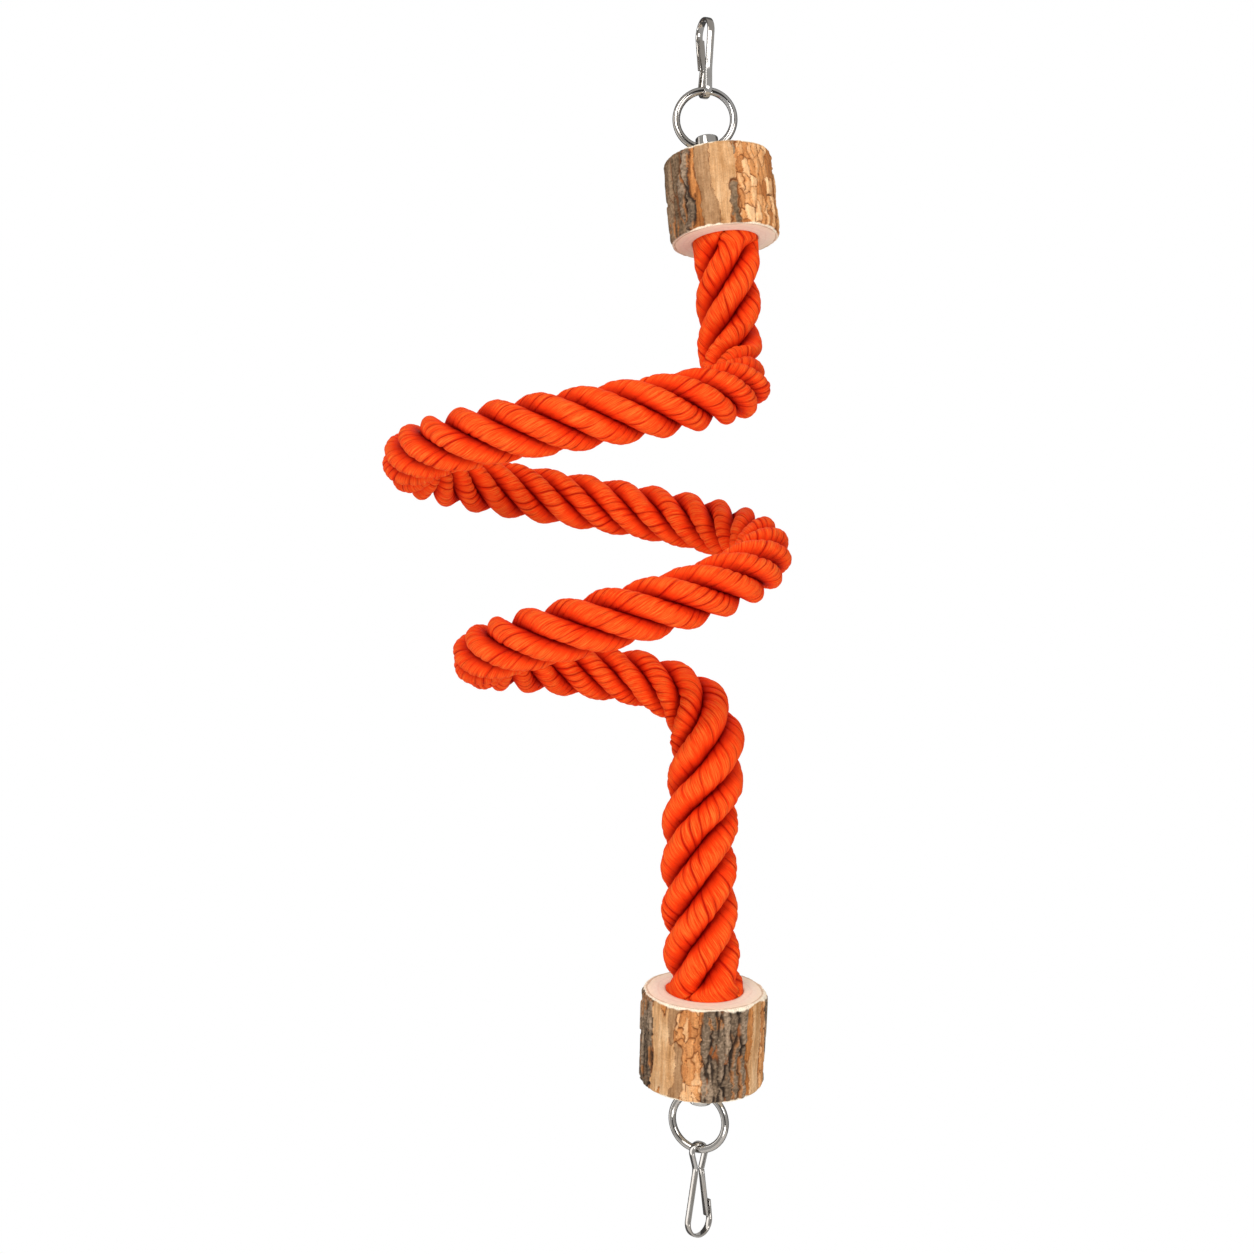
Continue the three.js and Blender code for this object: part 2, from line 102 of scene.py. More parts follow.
def raised(flat: Array, height: float | Array) -> Array:
    """Gives rows of flat points one height, or heights that fit the rows."""
    return np.concatenate([flat, np.broadcast_to(height, flat.shape[:2])[..., None]], axis=-1)


def through(points: Array, at: Array) -> Array:
    """Follows a smooth line through points, centripetal as the CAD's.

    Args:
        points: The points, one per row.
        at: Where to read the line, counted in points.

    Returns:
        The places on the line, one per row.
    """
    padded = np.vstack([2 * points[0] - points[1], points, 2 * points[-1] - points[-2]])
    span = np.clip(np.floor(at).astype(int), 0, len(points) - 2)
    part = (at - span)[:, None]
    before, start, end, after = (padded[span + i] for i in range(4))
    steps = (before, start), (start, end), (end, after)
    first, middle, last = (np.sqrt(np.linalg.norm(b - a, axis=1))[:, None] for a, b in steps)
    leave = (start - before) / first - (end - before) / (first + middle) + (end - start) / middle
    arrive = (end - start) / middle - (after - start) / (middle + last) + (after - end) / last
    square, cube = part**2, part**3
    return (
        (2 * cube - 3 * square + 1) * start
        + (cube - 2 * square + part) * leave * middle
        + (3 * square - 2 * cube) * end
        + (cube - square) * arrive * middle
    )


@dataclass(frozen=True)
class Place:
    """A local frame.

    Attributes:
        origin: The frame's origin.
        x_axis: Direction of its X axis.
        z_axis: Direction of its Z axis.
    """

    origin: Triple
    x_axis: Triple
    z_axis: Triple

    def out(self, local: Array) -> Array:
        """Moves points out of the frame.

        Args:
            local: Points in the frame.

        Returns:
            The same points in the toy's frame.
        """
        up = unit(self.z_axis)
        along = np.asarray(self.x_axis, dtype=float)
        along = unit(along - up * along.dot(up))
        return np.asarray(self.origin) + local @ np.stack([along, np.cross(up, along), up])


UPPER_BLOCK = Place((0.0180629, -0.0093867, -0.2054044), (0.9962, 0.0, 0.0872), (-0.0867, 0.1045, 0.9907))
LOWER_BLOCK = Place((-0.0005, 0.0, -0.8923), (0.9069, -0.4133, -0.0813), (-0.0294, 0.1305, -0.9910))
TOP_HOOK = Place((0.0, 0.0, -0.0716343), (-0.3665, 0.9304, 0.0), (0.9304, 0.3665, 0.0))
BOTTOM_HOOK = Place((-0.0053966, 0.0139147, -1.0367156), (0.7660, 0.6428, 0.0), (-0.6428, 0.7660, 0.0))
TOP_RING = Place((0.0, 0.0, -0.0907343), (0.0, 0.0, 1.0), (0.0, -1.0, 0.0))
BOTTOM_RING = Place((-0.0053966, 0.0139147, -1.0176156), (0.0, 0.0, 1.0), (0.4147, 0.91, 0.0))


class Wiring:
    """Adds nodes to a node tree and links them."""

    def __init__(self, tree: NodeTree) -> None:
        """Starts work on a tree."""
        self.tree = tree

    def feed(self, socket: NodeSocket, value: object) -> None:
        """Links an input to an output, or sets it.

        Args:
            socket: The input.
            value: The output or the value that feeds it.
        """
        if isinstance(value, NodeSocket):
            self.tree.links.new(value, socket)
        else:
            socket.default_value = value

    def add(self, kind: str, inputs: Inputs | Sequence[object] = (), **settings: object) -> Node:
        """Adds a node.

        Args:
            kind: The node's type.
            inputs: What feeds its inputs, by name, or in order for those in use.
            settings: Its other settings.

        Returns:
            The new node.
        """
        node = self.tree.nodes.new(kind)
        for name, value in settings.items():
            setattr(node, name, value)
        used = [socket for socket in node.inputs if socket.enabled]
        if isinstance(inputs, dict):
            used, inputs = [node.inputs[name] for name in inputs], list(inputs.values())
        for socket, value in zip(used, inputs):
            self.feed(socket, value)
        return node

    def run(self, kind: str, inputs: Inputs | Sequence[object] = (), **settings: object) -> NodeSocket:
        """Adds a node in the same way and gives its first output in use."""
        return next(output for output in self.add(kind, inputs, **settings).outputs if output.enabled)

    def math(self, operation: str, *values: object) -> NodeSocket:
        """Adds a sum on numbers, as Blender names it."""
        return self.run("ShaderNodeMath", values, operation=operation)

    def vector(self, operation: str, *values: object) -> NodeSocket:
        """Adds a sum on vectors, as Blender names it."""
        return self.run("ShaderNodeVectorMath", values, operation=operation)

    def mix(self, share: object, first: object, second: object, blend: str = "MIX") -> NodeSocket:
        """Mixes two colours with a share of the second."""
        return self.run("ShaderNodeMix", (share, first, second), data_type="RGBA", blend_type=blend)

    def span(self, value: object, *ends: float) -> NodeSocket:
        """Maps a range smoothly to another, given the ends of the first and then of the second."""
        return self.run("ShaderNodeMapRange", (value, *ends), interpolation_type="SMOOTHSTEP")

    def noise(self, *values: object, **settings: object) -> NodeSocket:
        """Reads noise, given its place, scale, detail and roughness."""
        return self.run("ShaderNodeTexNoise", values, **settings)

    def speckle(self, place: object, scale: float, low: float, high: float) -> NodeSocket:
        """Reads the shared speckle: a noise of some scale between two values."""
        return self.run("ShaderNodeGroup", (place, scale, low, high), node_tree=speckle_group())

    def attribute(self, name: str, output: str) -> NodeSocket:
        """Reads an attribute of the surface in a material."""
        return self.add("ShaderNodeAttribute", attribute_name=name).outputs[output]


def speckle_group() -> NodeTree:
    """Makes the node group that breaks up a colour with noise, or finds it.

    Returns:
        The group, which the materials share.
    """
    name, detail, roughness = "speckle", 4.0, 0.6
    least, most = 0.3, 0.7
    if name in bpy.data.node_groups:
        return bpy.data.node_groups[name]
    group = bpy.data.node_groups.new(name, "ShaderNodeTree")
    for label, kind in (("Vector", "Vector"), ("Scale", "Float"), ("Low", "Float"), ("High", "Float")):
        group.interface.new_socket(label, in_out="INPUT", socket_type=f"NodeSocket{kind}")
    group.interface.new_socket("Value", in_out="OUTPUT", socket_type="NodeSocketFloat")
    wiring = Wiring(group)
    given = wiring.add("NodeGroupInput").outputs
    noise = wiring.noise(given["Vector"], given["Scale"], detail, roughness)
    spread = wiring.run("ShaderNodeMapRange", (noise, least, most, given["Low"], given["High"]))
    wiring.add("NodeGroupOutput", {"Value": spread})
    return group


@dataclass(frozen=True)
class Finish(ABC):
    """A surface finish.

    Attributes:
        name: The material's name.
        slot: The record's material slot that it belongs to, if any; not used.
    """

    name: str
    slot: str

    @abstractmethod
    def surface(self, wiring: Wiring) -> Inputs:
        """Says what feeds the shader's inputs, by name."""

    def material(self) -> Material:
        """Makes the material, or finds it.

        Returns:
            The one material with this finish.
        """
        if self.name in bpy.data.materials:
            return bpy.data.materials[self.name]
        material = bpy.data.materials.new(self.name)
        material.use_nodes = True
        wiring = Wiring(material.node_tree)
        shader = next(n for n in material.node_tree.nodes if n.type == "BSDF_PRINCIPLED")
        for name, value in self.surface(wiring).items():
            wiring.feed(shader.inputs[name], value)
        return material


@dataclass(frozen=True)
class MattFinish(Finish):
    """One matt colour.

    Attributes:
        colour: The colour.
        roughness: Its roughness.
    """

    colour: Colour
    roughness: float = 0.9

    def surface(self, wiring: Wiring) -> Inputs:
        """Feeds the shader with the colour."""
        return {"Base Color": self.colour, "Roughness": self.roughness}


@dataclass(frozen=True)
class SteelFinish(Finish):
    """Steel, polished or plated.

    Attributes:
        colour: The metal's colour.
        tint: A warm tint in patches.
        roughness: Least and greatest roughness.
        patch_scale: How fine the patches of tint are.
        polish_scale: How fine the patches of roughness are.
    """

    colour: Colour
    tint: Colour
    roughness: Pair
    patch_scale: float = 14.0
    polish_scale: float = 30.0

    def surface(self, wiring: Wiring) -> Inputs:
        """Feeds the shader with patchy colour and polish.

        Args:
            wiring: The material's tree.

        Returns:
            What feeds the shader.
        """
        place = wiring.add("ShaderNodeTexCoord").outputs["Object"]
        patch = wiring.speckle(place, self.patch_scale, 0.0, 1.0)
        polish = wiring.speckle(place, self.polish_scale, *self.roughness)
        return {"Base Color": wiring.mix(patch, self.colour, self.tint), "Roughness": polish, "Metallic": 1.0}


@dataclass(frozen=True)
class SoftFinish(Finish):
    """A rough finish with a bump.

    Attributes:
        bump: Strength and height of the bump.
        roughness: Its roughness.
        shine: Strength of its reflections.
    """

    bump: ClassVar[Pair]
    roughness: ClassVar[float]
    shine: ClassVar[float]

    def soft(self, wiring: Wiring, colour: NodeSocket, height: NodeSocket) -> Inputs:
        """Feeds the shader with a colour and the height of a bump.

        Args:
            wiring: The material's tree.
            colour: The colour.
            height: The height.

        Returns:
            What feeds the shader.
        """
        strength, distance = self.bump
        bump = {"Height": height, "Strength": strength, "Distance": distance}
        return {
            "Base Color": colour,
            "Normal": wiring.run("ShaderNodeBump", bump),
            "Roughness": self.roughness,
            "Specular IOR Level": self.shine,
        }


@dataclass(frozen=True)
class RopeFinish(SoftFinish):
    """Dyed rope of soft yarns, with a painted highlight where the yarns face out and painted shade between
    strands and yarns.

    Attributes:
        crown: Colour of the yarns where they face out.
        light: Colour of the lighter fibres, and the painted highlight where the yarns face out.
        deep: Colour of the darker fibres.
        flank_shade: Painted shade where two strands meet, a darker red.
        groove: Painted shade between two yarns, a darker red.
        fibre_scale: How fine the fibres are, across and along the strand.
        fibre_noise: Scale, detail and roughness of the fibres' noise.
        crown_lit: How the height on the rope becomes a painted highlight, where the fibres are light.
        fibre_lit: How a fibre becomes light.
        fibre_deep: How a fibre becomes dark.
        meeting: How the height on the rope becomes the painted shade where two strands meet.
        gap: How the groove's depth becomes its painted shade.
    """

    crown: Colour
    light: Colour
    deep: Colour
    flank_shade: Colour
    groove: Colour
    fibre_scale: Triple = (13.0, 13.0, 60.0)
    fibre_noise: Triple = (1.0, 5.0, 0.7)
    crown_lit: Span = (0.78, 0.98, 0.0, 1.0)
    fibre_lit: Span = (0.42, 0.7, 0.05, 1.0)
    fibre_deep: Span = (0.5, 0.3, 0.0, 0.75)
    meeting: Span = (0.56, 0.9, 1.0, 0.0)
    gap: Span = (0.0, 0.9, 0.9, 0.0)
    bump = (0.9, 0.0016)
    roughness = 0.7
    shine = 0.06

    def surface(self, wiring: Wiring) -> Inputs:
        """Feeds the shader with yarns and fibres, a painted highlight where the yarns face out, and painted
        shade where strands meet and between yarns.

        Args:
            wiring: The material's tree.

        Returns:
            What feeds the shader.
        """
        fibre = wiring.vector("MULTIPLY", wiring.attribute("fibre", "Vector"), self.fibre_scale)
        streak = wiring.noise(fibre, *self.fibre_noise)
        height = wiring.attribute("crown", "Fac")
        # Painted highlight: lighter fibres where the yarns face out most.
        lit = wiring.span(height, *self.crown_lit), wiring.span(streak, *self.fibre_lit)
        yarn = wiring.mix(wiring.math("MULTIPLY", *lit), self.crown, self.light)
        yarn = wiring.mix(wiring.span(streak, *self.fibre_deep), yarn, self.deep)
        # Painted shade where two strands meet, darker deeper in the rope.
        yarn = wiring.mix(wiring.span(height, *self.meeting), yarn, self.flank_shade)
        # Painted shade in the grooves between yarns.
        gap = wiring.span(wiring.attribute("groove", "Fac"), *self.gap)
        return self.soft(wiring, wiring.mix(gap, yarn, self.groove), streak)


@dataclass(frozen=True)
class LogFinish(SoftFinish):
    """Bark, bare wood and sawn end grain of a log slice.

    Attributes:
        heart: Colour of the end grain.
        ring: Colour of its year rings.
        sap: Colour of the pale wood near the rim.
        line: Colour of the thin line between wood and bark.
        drift_noise: Scale and detail of the noise that bends the year rings.
        drift: How far it bends them.
        year_rate: How close the year rings are.
        year: How the wave of the years becomes a ring.
        rim: Where the pale wood starts.
        edge: Where the thin line lies.
        grain_scale: How fine the upright grain is, across and along the log.
        grain: Scale, least and greatest value of the upright grain.
        fine: The same of the bark's fine speckle.
        dust: The same of the end grain's speckle.
    """

    heart: Colour
    ring: Colour
    sap: Colour
    line: Colour
    drift_noise: Pair = (2.2, 2.0)
    drift: float = 0.12
    year_rate: float = 62.0
    year: Span = (0.35, 1.0, 0.0, 0.4)
    rim: Span = (0.86, 0.97, 0.0, 1.0)
    edge: Span = (0.985, 1.005, 0.0, 0.55)
    grain_scale: Triple = (34.0, 34.0, 4.0)
    grain: Triple = (1.0, 0.78, 1.18)
    fine: Triple = (46.0, 0.84, 1.12)
    dust: Triple = (16.0, 0.94, 1.04)
    bump = (0.6, 0.0009)
    roughness = 0.8
    shine = 0.25

    def surface(self, wiring: Wiring) -> Inputs:
        """Feeds the shader with bark from the mesh, and with end grain.

        Args:
            wiring: The material's tree.

        Returns:
            What feeds the shader.
        """
        place = wiring.attribute("log_place", "Vector")
        flat = wiring.vector("MULTIPLY", place, (1.0, 1.0, 0.0))
        drift = wiring.math("MULTIPLY", wiring.noise(flat, *self.drift_noise), self.drift)
        wavy = wiring.math("ADD", wiring.vector("LENGTH", flat), drift)
        year = wiring.math("SINE", wiring.math("MULTIPLY", wavy, self.year_rate))
        wood = wiring.mix(wiring.span(year, *self.year), self.heart, self.ring)
        wood = wiring.mix(wiring.span(wavy, *self.rim), wood, self.sap)
        wood = wiring.mix(wiring.span(wavy, *self.edge), wood, self.line)
        wood = wiring.mix(1.0, wood, wiring.speckle(place, *self.dust), "MULTIPLY")
        upright = wiring.vector("MULTIPLY", place, self.grain_scale)
        grain = wiring.speckle(upright, *self.grain)
        fine = wiring.math("MULTIPLY", wiring.speckle(place, *self.fine), grain)
        bark = wiring.mix(1.0, wiring.attribute("bark", "Color"), fine, "MULTIPLY")
        return self.soft(wiring, wiring.mix(wiring.attribute("bark", "Alpha"), wood, bark), fine)


POLISHED = SteelFinish(
    "bright_steel",
    "polished_steel",
    colour=srgb(212, 211, 209),
    tint=srgb(178, 169, 158),
    roughness=(0.09, 0.14),
)
PLATED = SteelFinish(
    "plated_steel",
    "zinc_steel",
    colour=srgb(188, 189, 193),
    tint=srgb(170, 172, 170),
    roughness=(0.25, 0.42),
)
ROPE = RopeFinish(
    "dyed_yarn_and_painted_light",
    "orange_rope",
    crown=srgb(255, 64, 10),
    # Lighter fibres, and the painted highlight where the yarns face out.
    light=srgb(255, 124, 48),
    deep=srgb(236, 34, 4),
    # Painted shade where two strands meet.
    flank_shade=srgb(176, 10, 1),
    # Painted shade between two yarns.
    groove=srgb(190, 15, 1),
)
LOG_WOOD = LogFinish(
    "bark_and_end_grain",
    "log_wood",
    heart=srgb(248, 232, 210),
    ring=srgb(238, 214, 190),
    sap=srgb(250, 234, 208),
    line=srgb(178, 132, 84),
)


def link(name: str, data: ID) -> Object:
    """Adds an object to the scene.

    Args:
        name: Its name.
        data: Its mesh, lamp or camera.

    Returns:
        The new object.
    """
    part = bpy.data.objects.new(name, data)
    bpy.context.scene.collection.objects.link(part)
    return part


def add_mesh(name: str, points: Array, edges: list[tuple[int, int]], faces: list[list[int]]) -> Object:
    """Adds a mesh to the scene.

    Args:
        name: The object's name.
        points: Its points in the toy's frame.
        edges: The ends of its edges.
        faces: The corners of its faces.

    Returns:
        The new object.
    """
    data = bpy.data.meshes.new(name)
    data.from_pydata(points.tolist(), edges, faces)
    return link(name, data)


def skin(name: str, rows: Array, finish: Finish, ring: bool = False) -> Object:
    """Makes a smooth closed mesh from rows of points, each row round a ring.

    Args:
        name: The object's name.
        rows: The points, by row and place in the row.
        finish: Its finish.
        ring: Whether the last row joins the first. If not, a face closes each end.

    Returns:
        The new object, with its normals out.
    """
    count, sides = rows.shape[:2]
    row, column = np.arange(count if ring else count - 1)[:, None], np.arange(sides)
    ahead, beside = (row + 1) % count, (column + 1) % sides
    pairs = (row, column), (row, beside), (ahead, beside), (ahead, column)
    faces = np.stack([a * sides + b for a, b in pairs], axis=-1).reshape(-1, 4).tolist()
    if not ring:
        faces += [list(range(sides)), list(range((count - 1) * sides, count * sides))]
    part = add_mesh(name, rows.reshape(-1, 3), [], faces)
    part.data.materials.append(finish.material())
    turn_out(part.data)
    part.data.shade_smooth()
    return part


def turn_out(data: Mesh) -> None:
    """Turns the normals of a closed mesh out.

    Args:
        data: The mesh.
    """
    work = bmesh.new()
    work.from_mesh(data)
    bmesh.ops.recalc_face_normals(work, faces=work.faces)
    work.to_mesh(data)
    work.free()


def plain_mesh(part: Object) -> None:
    """Replaces an object's mesh with what its modifiers make of it.

    Args:
        part: The object, which keeps no modifier.
    """
    graph = bpy.context.evaluated_depsgraph_get()
    shaped = part.evaluated_get(graph)
    made = bpy.data.meshes.new_from_object(shaped, preserve_all_data_layers=True, depsgraph=graph)
    part.modifiers.clear()
    part.data = made


def store(part: Object, name: str, kind: str, values: Array) -> None:
    """Keeps a value for each point of a mesh."""
    key = {"FLOAT": "value", "FLOAT_VECTOR": "vector", "FLOAT_COLOR": "color"}[kind]
    part.data.attributes.new(name, kind, "POINT").data.foreach_set(key, values.ravel())


@dataclass
class Piece(ABC):
    """A sub-assembly of the toy."""

    @abstractmethod
    def build(self) -> list[Object]:
        """Makes the meshes and lists the new objects."""

    @abstractmethod
    def dress(self, made: list[Object]) -> None:
        """Hangs the objects from build on their bodies or bakes them in place, and hides the CAD parts that
        they stand for.
        """

    def add(self) -> None:
        """Builds, dresses and reports the sub-assembly."""
        made = self.build()
        self.dress(made)
        for part in made:
            LOG.info("%s: %d faces", part.name, len(part.data.polygons))


@dataclass
class RigidPiece(Piece):
    """A sub-assembly of stiff parts.

    Attributes:
        nodes: The CAD node that each part stands for.
        bodies: The body that each part moves with.
        place: Its frame.
        finish: Its finish.
    """

    nodes: tuple[str, ...]
    bodies: tuple[str, ...]
    place: Place
    finish: ClassVar[Finish] = POLISHED

    def dress(self, made: list[Object]) -> None:
        """Makes each part move with its body.

        Args:
            made: The objects from build.
        """
        for part, node, body in zip(made, self.nodes, self.bodies):
            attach(part, body)
            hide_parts(node)


@dataclass(frozen=True)
class RopeRoute:
    """The middle line of the rope, from the upper block's socket to the lower block's.

    Attributes:
        upper: Frame of the upper block, with its rope face at 0.
        lower: Frame of the lower block, in the same way.
        depths: How deep the rope sits in the upper and in the lower socket.
        coil: Radius of the coil, X of its middle and its Z, at every half turn.
        coil_flatness: Depth of the coil over its width.
        coil_front_drop: How far the coil's front hangs under its middle.
        coil_middle_y: Y of the coil's middle.
        coil_ends: Angles at which the coil starts and ends, in degrees.
        coil_steps: Number of steps along the coil.
        upper_points: Points between the upper socket and the coil.
        lower_points: Points between the coil and the lower socket.
        bend: Which of those points in each list lies at the bend.
        diameters: Thickness of the upper stretch, of the coil and of the lower stretch.
        lays: Length of one turn of a strand in each of them.
        mouth: How far out of a socket the rope stays pressed.
        step: Length of a step along the rope.
        fineness: Number of places read between two points, to measure the line.
    """

    upper: Place = UPPER_BLOCK
    lower: Place = LOWER_BLOCK
    depths: Pair = (0.0326, 0.0426)
    coil: tuple[Triple, ...] = (
        (0.148, -0.116, -0.337),
        (0.155, -0.110, -0.411),
        (0.145, -0.095, -0.491),
        (0.116, -0.086, -0.588),
        (0.098, -0.092, -0.640),
    )
    coil_flatness: float = 0.81
    coil_front_drop: float = 0.012
    coil_middle_y: float = -0.031
    coil_ends: Pair = (14.0, 650.0)
    coil_steps: int = 53
    upper_points: tuple[Triple, ...] = (
        (0.0203, -0.012, -0.236),
        (0.021, -0.0126, -0.265),
        (0.0217, -0.0132, -0.294),
        (0.0226, -0.020, -0.319),
        (0.0253, -0.038, -0.336),
    )
    lower_points: tuple[Triple, ...] = (
        (-0.013, 0.032, -0.628),
        (0.001, 0.018, -0.653),
        (0.0025, 0.009, -0.680),
        (-0.0015, 0.0048, -0.716),
        (-0.0055, 0.0006, -0.752),
        (-0.0056, -0.002, -0.800),
        (-0.004, -0.0018, -0.850),
    )
    bend: int = 2
    diameters: Triple = (0.060, 0.054, 0.071)
    lays: Triple = (0.158, 0.141, 0.160)
    mouth: float = 0.012
    step: float = 0.0025
    fineness: int = 60

    def coil_points(self) -> Array:
        """Finds points along the coil.

        Returns:
            The points, one per row.
        """
        degrees = np.linspace(*self.coil_ends, self.coil_steps + 1)
        radius, centre, height = through(np.array(self.coil), degrees / 180).T
        right, front = np.cos(np.radians(degrees)), np.sin(np.radians(degrees))
        y = self.coil_middle_y - self.coil_flatness * radius * front
        return np.stack([centre + radius * right, y, height - self.coil_front_drop * front], axis=1)

    def line(self) -> tuple[Array, Array]:
        """Follows the route in even steps, with what the strands need to know.

        Returns:
            The points, and for each the rope's radius, the angle of the lay and the length so far.
        """
        sunk = np.array([[1.0], [0.5], [0.0]])
        start = np.asarray(self.upper.origin) + sunk * self.depths[0] * self.upper.z_axis
        end = np.asarray(self.lower.origin) + sunk[::-1] * self.depths[1] * self.lower.z_axis
        coil = self.coil_points()
        knots = np.vstack([start, self.upper_points, coil, self.lower_points, end])
        count = np.linspace(0, len(knots) - 1, self.fineness * len(knots))
        dense = through(knots, count)
        travelled = np.concatenate([[0], np.cumsum(np.linalg.norm(np.diff(dense, axis=0), axis=1))])
        even = np.linspace(0, travelled[-1], round(travelled[-1] / self.step) + 1)
        points = np.stack([np.interp(even, travelled, axis) for axis in dense.T], axis=1)
        marks = np.interp(np.arange(len(knots)), count, travelled)
        first = len(start) + len(self.upper_points)
        last = first + len(coil)
        early = ease(marks[len(start) + self.bend], marks[first], even)
        late = ease(marks[last - 1], marks[last + self.bend], even)
        stretches = (self.diameters, self.lays)
        diameter, lay = (a + (b - a) * early + (c - b) * late for a, b, c in stretches)
        turns = np.concatenate([[0], np.cumsum(np.diff(even) / lay[1:])])
        return points, np.stack([diameter / 2, FULL_TURN * turns, even], axis=1)

    def pressed(self, travelled: Array) -> Array:
        """Finds where the sockets press the rope together, from 1 in them to 0 a little way out."""
        ends = zip(self.depths, (travelled, travelled[-1] - travelled))
        return np.maximum(*(1 - ease(depth, depth + self.mouth, length) for depth, length in ends))


class StrandTree:
    """Geometry Nodes tree that lays one strand of a rope along the rope's middle line.

    Attributes:
        name: The tree's name.
        sizes: Name, type and first value of each of its inputs.
        groove_range: How a noise becomes the depth of a groove.
        groove_apart: How far apart that noise is read for two neighbouring grooves.
    """

    name: str = "laid_strand"
    sizes: tuple[tuple[str, str, object], ...] = (
        ("Line", "Geometry", None),
        ("Strands", "Float", 4.0),
        ("Phase", "Float", 0.0),
        ("Spread", "Float", 0.57),
        ("Fill", "Float", 0.43),
        ("Socket Fill", "Float", 0.74),
        ("Meeting Gap", "Float", 0.0002),
        ("Yarns", "Int", 8),
        ("Points per Yarn", "Int", 7),
        ("Yarn Turns", "Float", 3.2),
        ("Groove Depth", "Float", 0.055),
        ("Groove Sharpness", "Float", 0.6),
        ("Groove Changes", "Float", 24.0),
        ("Points to Grooves", "Float", 0.6),
        ("Unevenness", "Float", 0.09),
        ("Bulges", "Float", 22.0),
        ("Bulge Scale", "Float", 1.3),
        ("Steps", "Int", 1000),
        ("Seed", "Float", 11.0),
        ("Material", "Material", None),
    )
    groove_range: Span = (0.36, 0.68, 0.15, 1.2)
    groove_apart: float = 7.3

    def __init__(self) -> None:
        """Makes the tree and its named inputs."""
        self.tree = bpy.data.node_groups.new(self.name, "GeometryNodeTree")
        self.wiring = Wiring(self.tree)
        self.sockets: dict[str, str] = {}
        for label, kind, value in self.sizes:
            socket = self.tree.interface.new_socket(label, in_out="INPUT", socket_type=f"NodeSocket{kind}")
            if value is not None:
                socket.default_value = value
            self.sockets[label] = socket.identifier
        self.tree.interface.new_socket("Strand", in_out="OUTPUT", socket_type="NodeSocketGeometry")
        self.build()

    def captured(self, curve: NodeSocket) -> tuple[NodeSocket, NodeSocket]:
        """Notes how far along a curve each of its points lies.

        Args:
            curve: The curve.

        Returns:
            The curve, and the share of its length at each point.
        """
        share = self.wiring.add("GeometryNodeSplineParameter").outputs["Factor"]
        node = self.wiring.add("GeometryNodeCaptureAttribute", domain="POINT")
        node.capture_items.new("FLOAT", "Share")
        self.wiring.feed(node.inputs["Geometry"], curve)
        self.wiring.feed(node.inputs["Share"], share)
        return node.outputs["Geometry"], node.outputs["Share"]

    def sampled(self, line: NodeSocket, along: NodeSocket, name: str, kind: str) -> Node:
        """Reads an attribute of the rope's middle line.

        Args:
            line: The middle line.
            along: Where to read it, as a share of its length.
            name: The attribute's name.
            kind: The attribute's type.

        Returns:
            The node that reads it, and the line's place and directions.
        """
        value = self.wiring.run("GeometryNodeInputNamedAttribute", {"Name": name}, data_type=kind)
        inputs = {"Curves": line, "Value": value, "Factor": along}
        settings = {"data_type": kind, "mode": "FACTOR", "use_all_curves": True}
        return self.wiring.add("GeometryNodeSampleCurve", inputs, **settings)

    def build(self) -> None:
        """Wires the tree: a plain tube, bent to the strand's shape."""
        w = self.wiring
        names = ("ADD", "SUBTRACT", "MULTIPLY", "DIVIDE", "SINE", "COSINE", "FLOOR", "MINIMUM")
        plus, minus, times, over, sine, cosine, floor, least = (partial(w.math, name) for name in names)
        given = w.add("NodeGroupInput").outputs
        yarns = given["Yarns"]
        line = w.run("GeometryNodeMeshToCurve", {"Mesh": given["Line"]})
        straight = w.run("GeometryNodeCurvePrimitiveLine")
        steps = w.run("GeometryNodeResampleCurve", {"Curve": straight, "Count": given["Steps"]}, mode="COUNT")
        path, along = self.captured(steps)
        count = times(yarns, given["Points per Yarn"])
        section, around = self.captured(w.run("GeometryNodeCurvePrimitiveCircle", {"Resolution": count}))
        tube = {"Curve": path, "Profile Curve": section, "Fill Caps": True}
        mesh = w.run("GeometryNodeCurveToMesh", tube)

        rope = self.sampled(line, along, "lay", "FLOAT_VECTOR").outputs
        radius, twist, travelled = w.add("ShaderNodeSeparateXYZ", [rope["Value"]]).outputs
        pressed = self.sampled(line, along, "pressed", "FLOAT").outputs["Value"]

        # Points gather at the grooves between the yarns, whose depth changes along the strand.
        number = times(around, yarns)
        part = w.math("FRACT", number)
        pull = over(times(sine(times(part, FULL_TURN)), given["Points to Grooves"]), FULL_TURN)
        across = minus(part, pull)
        turn = times(over(plus(floor(number), across), yarns), FULL_TURN)
        ridge = w.math("POWER", w.math("ABSOLUTE", sine(times(across, math.pi))), given["Groove Sharpness"])
        seed = plus(given["Seed"], given["Phase"])
        border = w.math("MODULO", floor(plus(number, 0.5)), yarns)
        spot = (times(border, self.groove_apart), 0.0, times(travelled, given["Groove Changes"]))
        spot = w.run("ShaderNodeCombineXYZ", spot)
        noise = w.noise(spot, seed, 1.0, 1.0, noise_dimensions="4D")
        groove = times(minus(1.0, ridge), w.span(noise, *self.groove_range))

        # The section bulges unevenly, and fills the rope's round where a socket presses it.
        spot = (cosine(turn), sine(turn), times(travelled, given["Bulges"]))
        spot = w.run("ShaderNodeCombineXYZ", spot)
        noise = w.noise(spot, seed, given["Bulge Scale"], 1.0, noise_dimensions="4D")
        plump = plus(times(minus(given["Socket Fill"], given["Fill"]), pressed), given["Fill"])
        bulge = plus(times(minus(noise, 0.5), given["Unevenness"]), plump)
        reach = times(radius, minus(bulge, times(groove, given["Groove Depth"])))

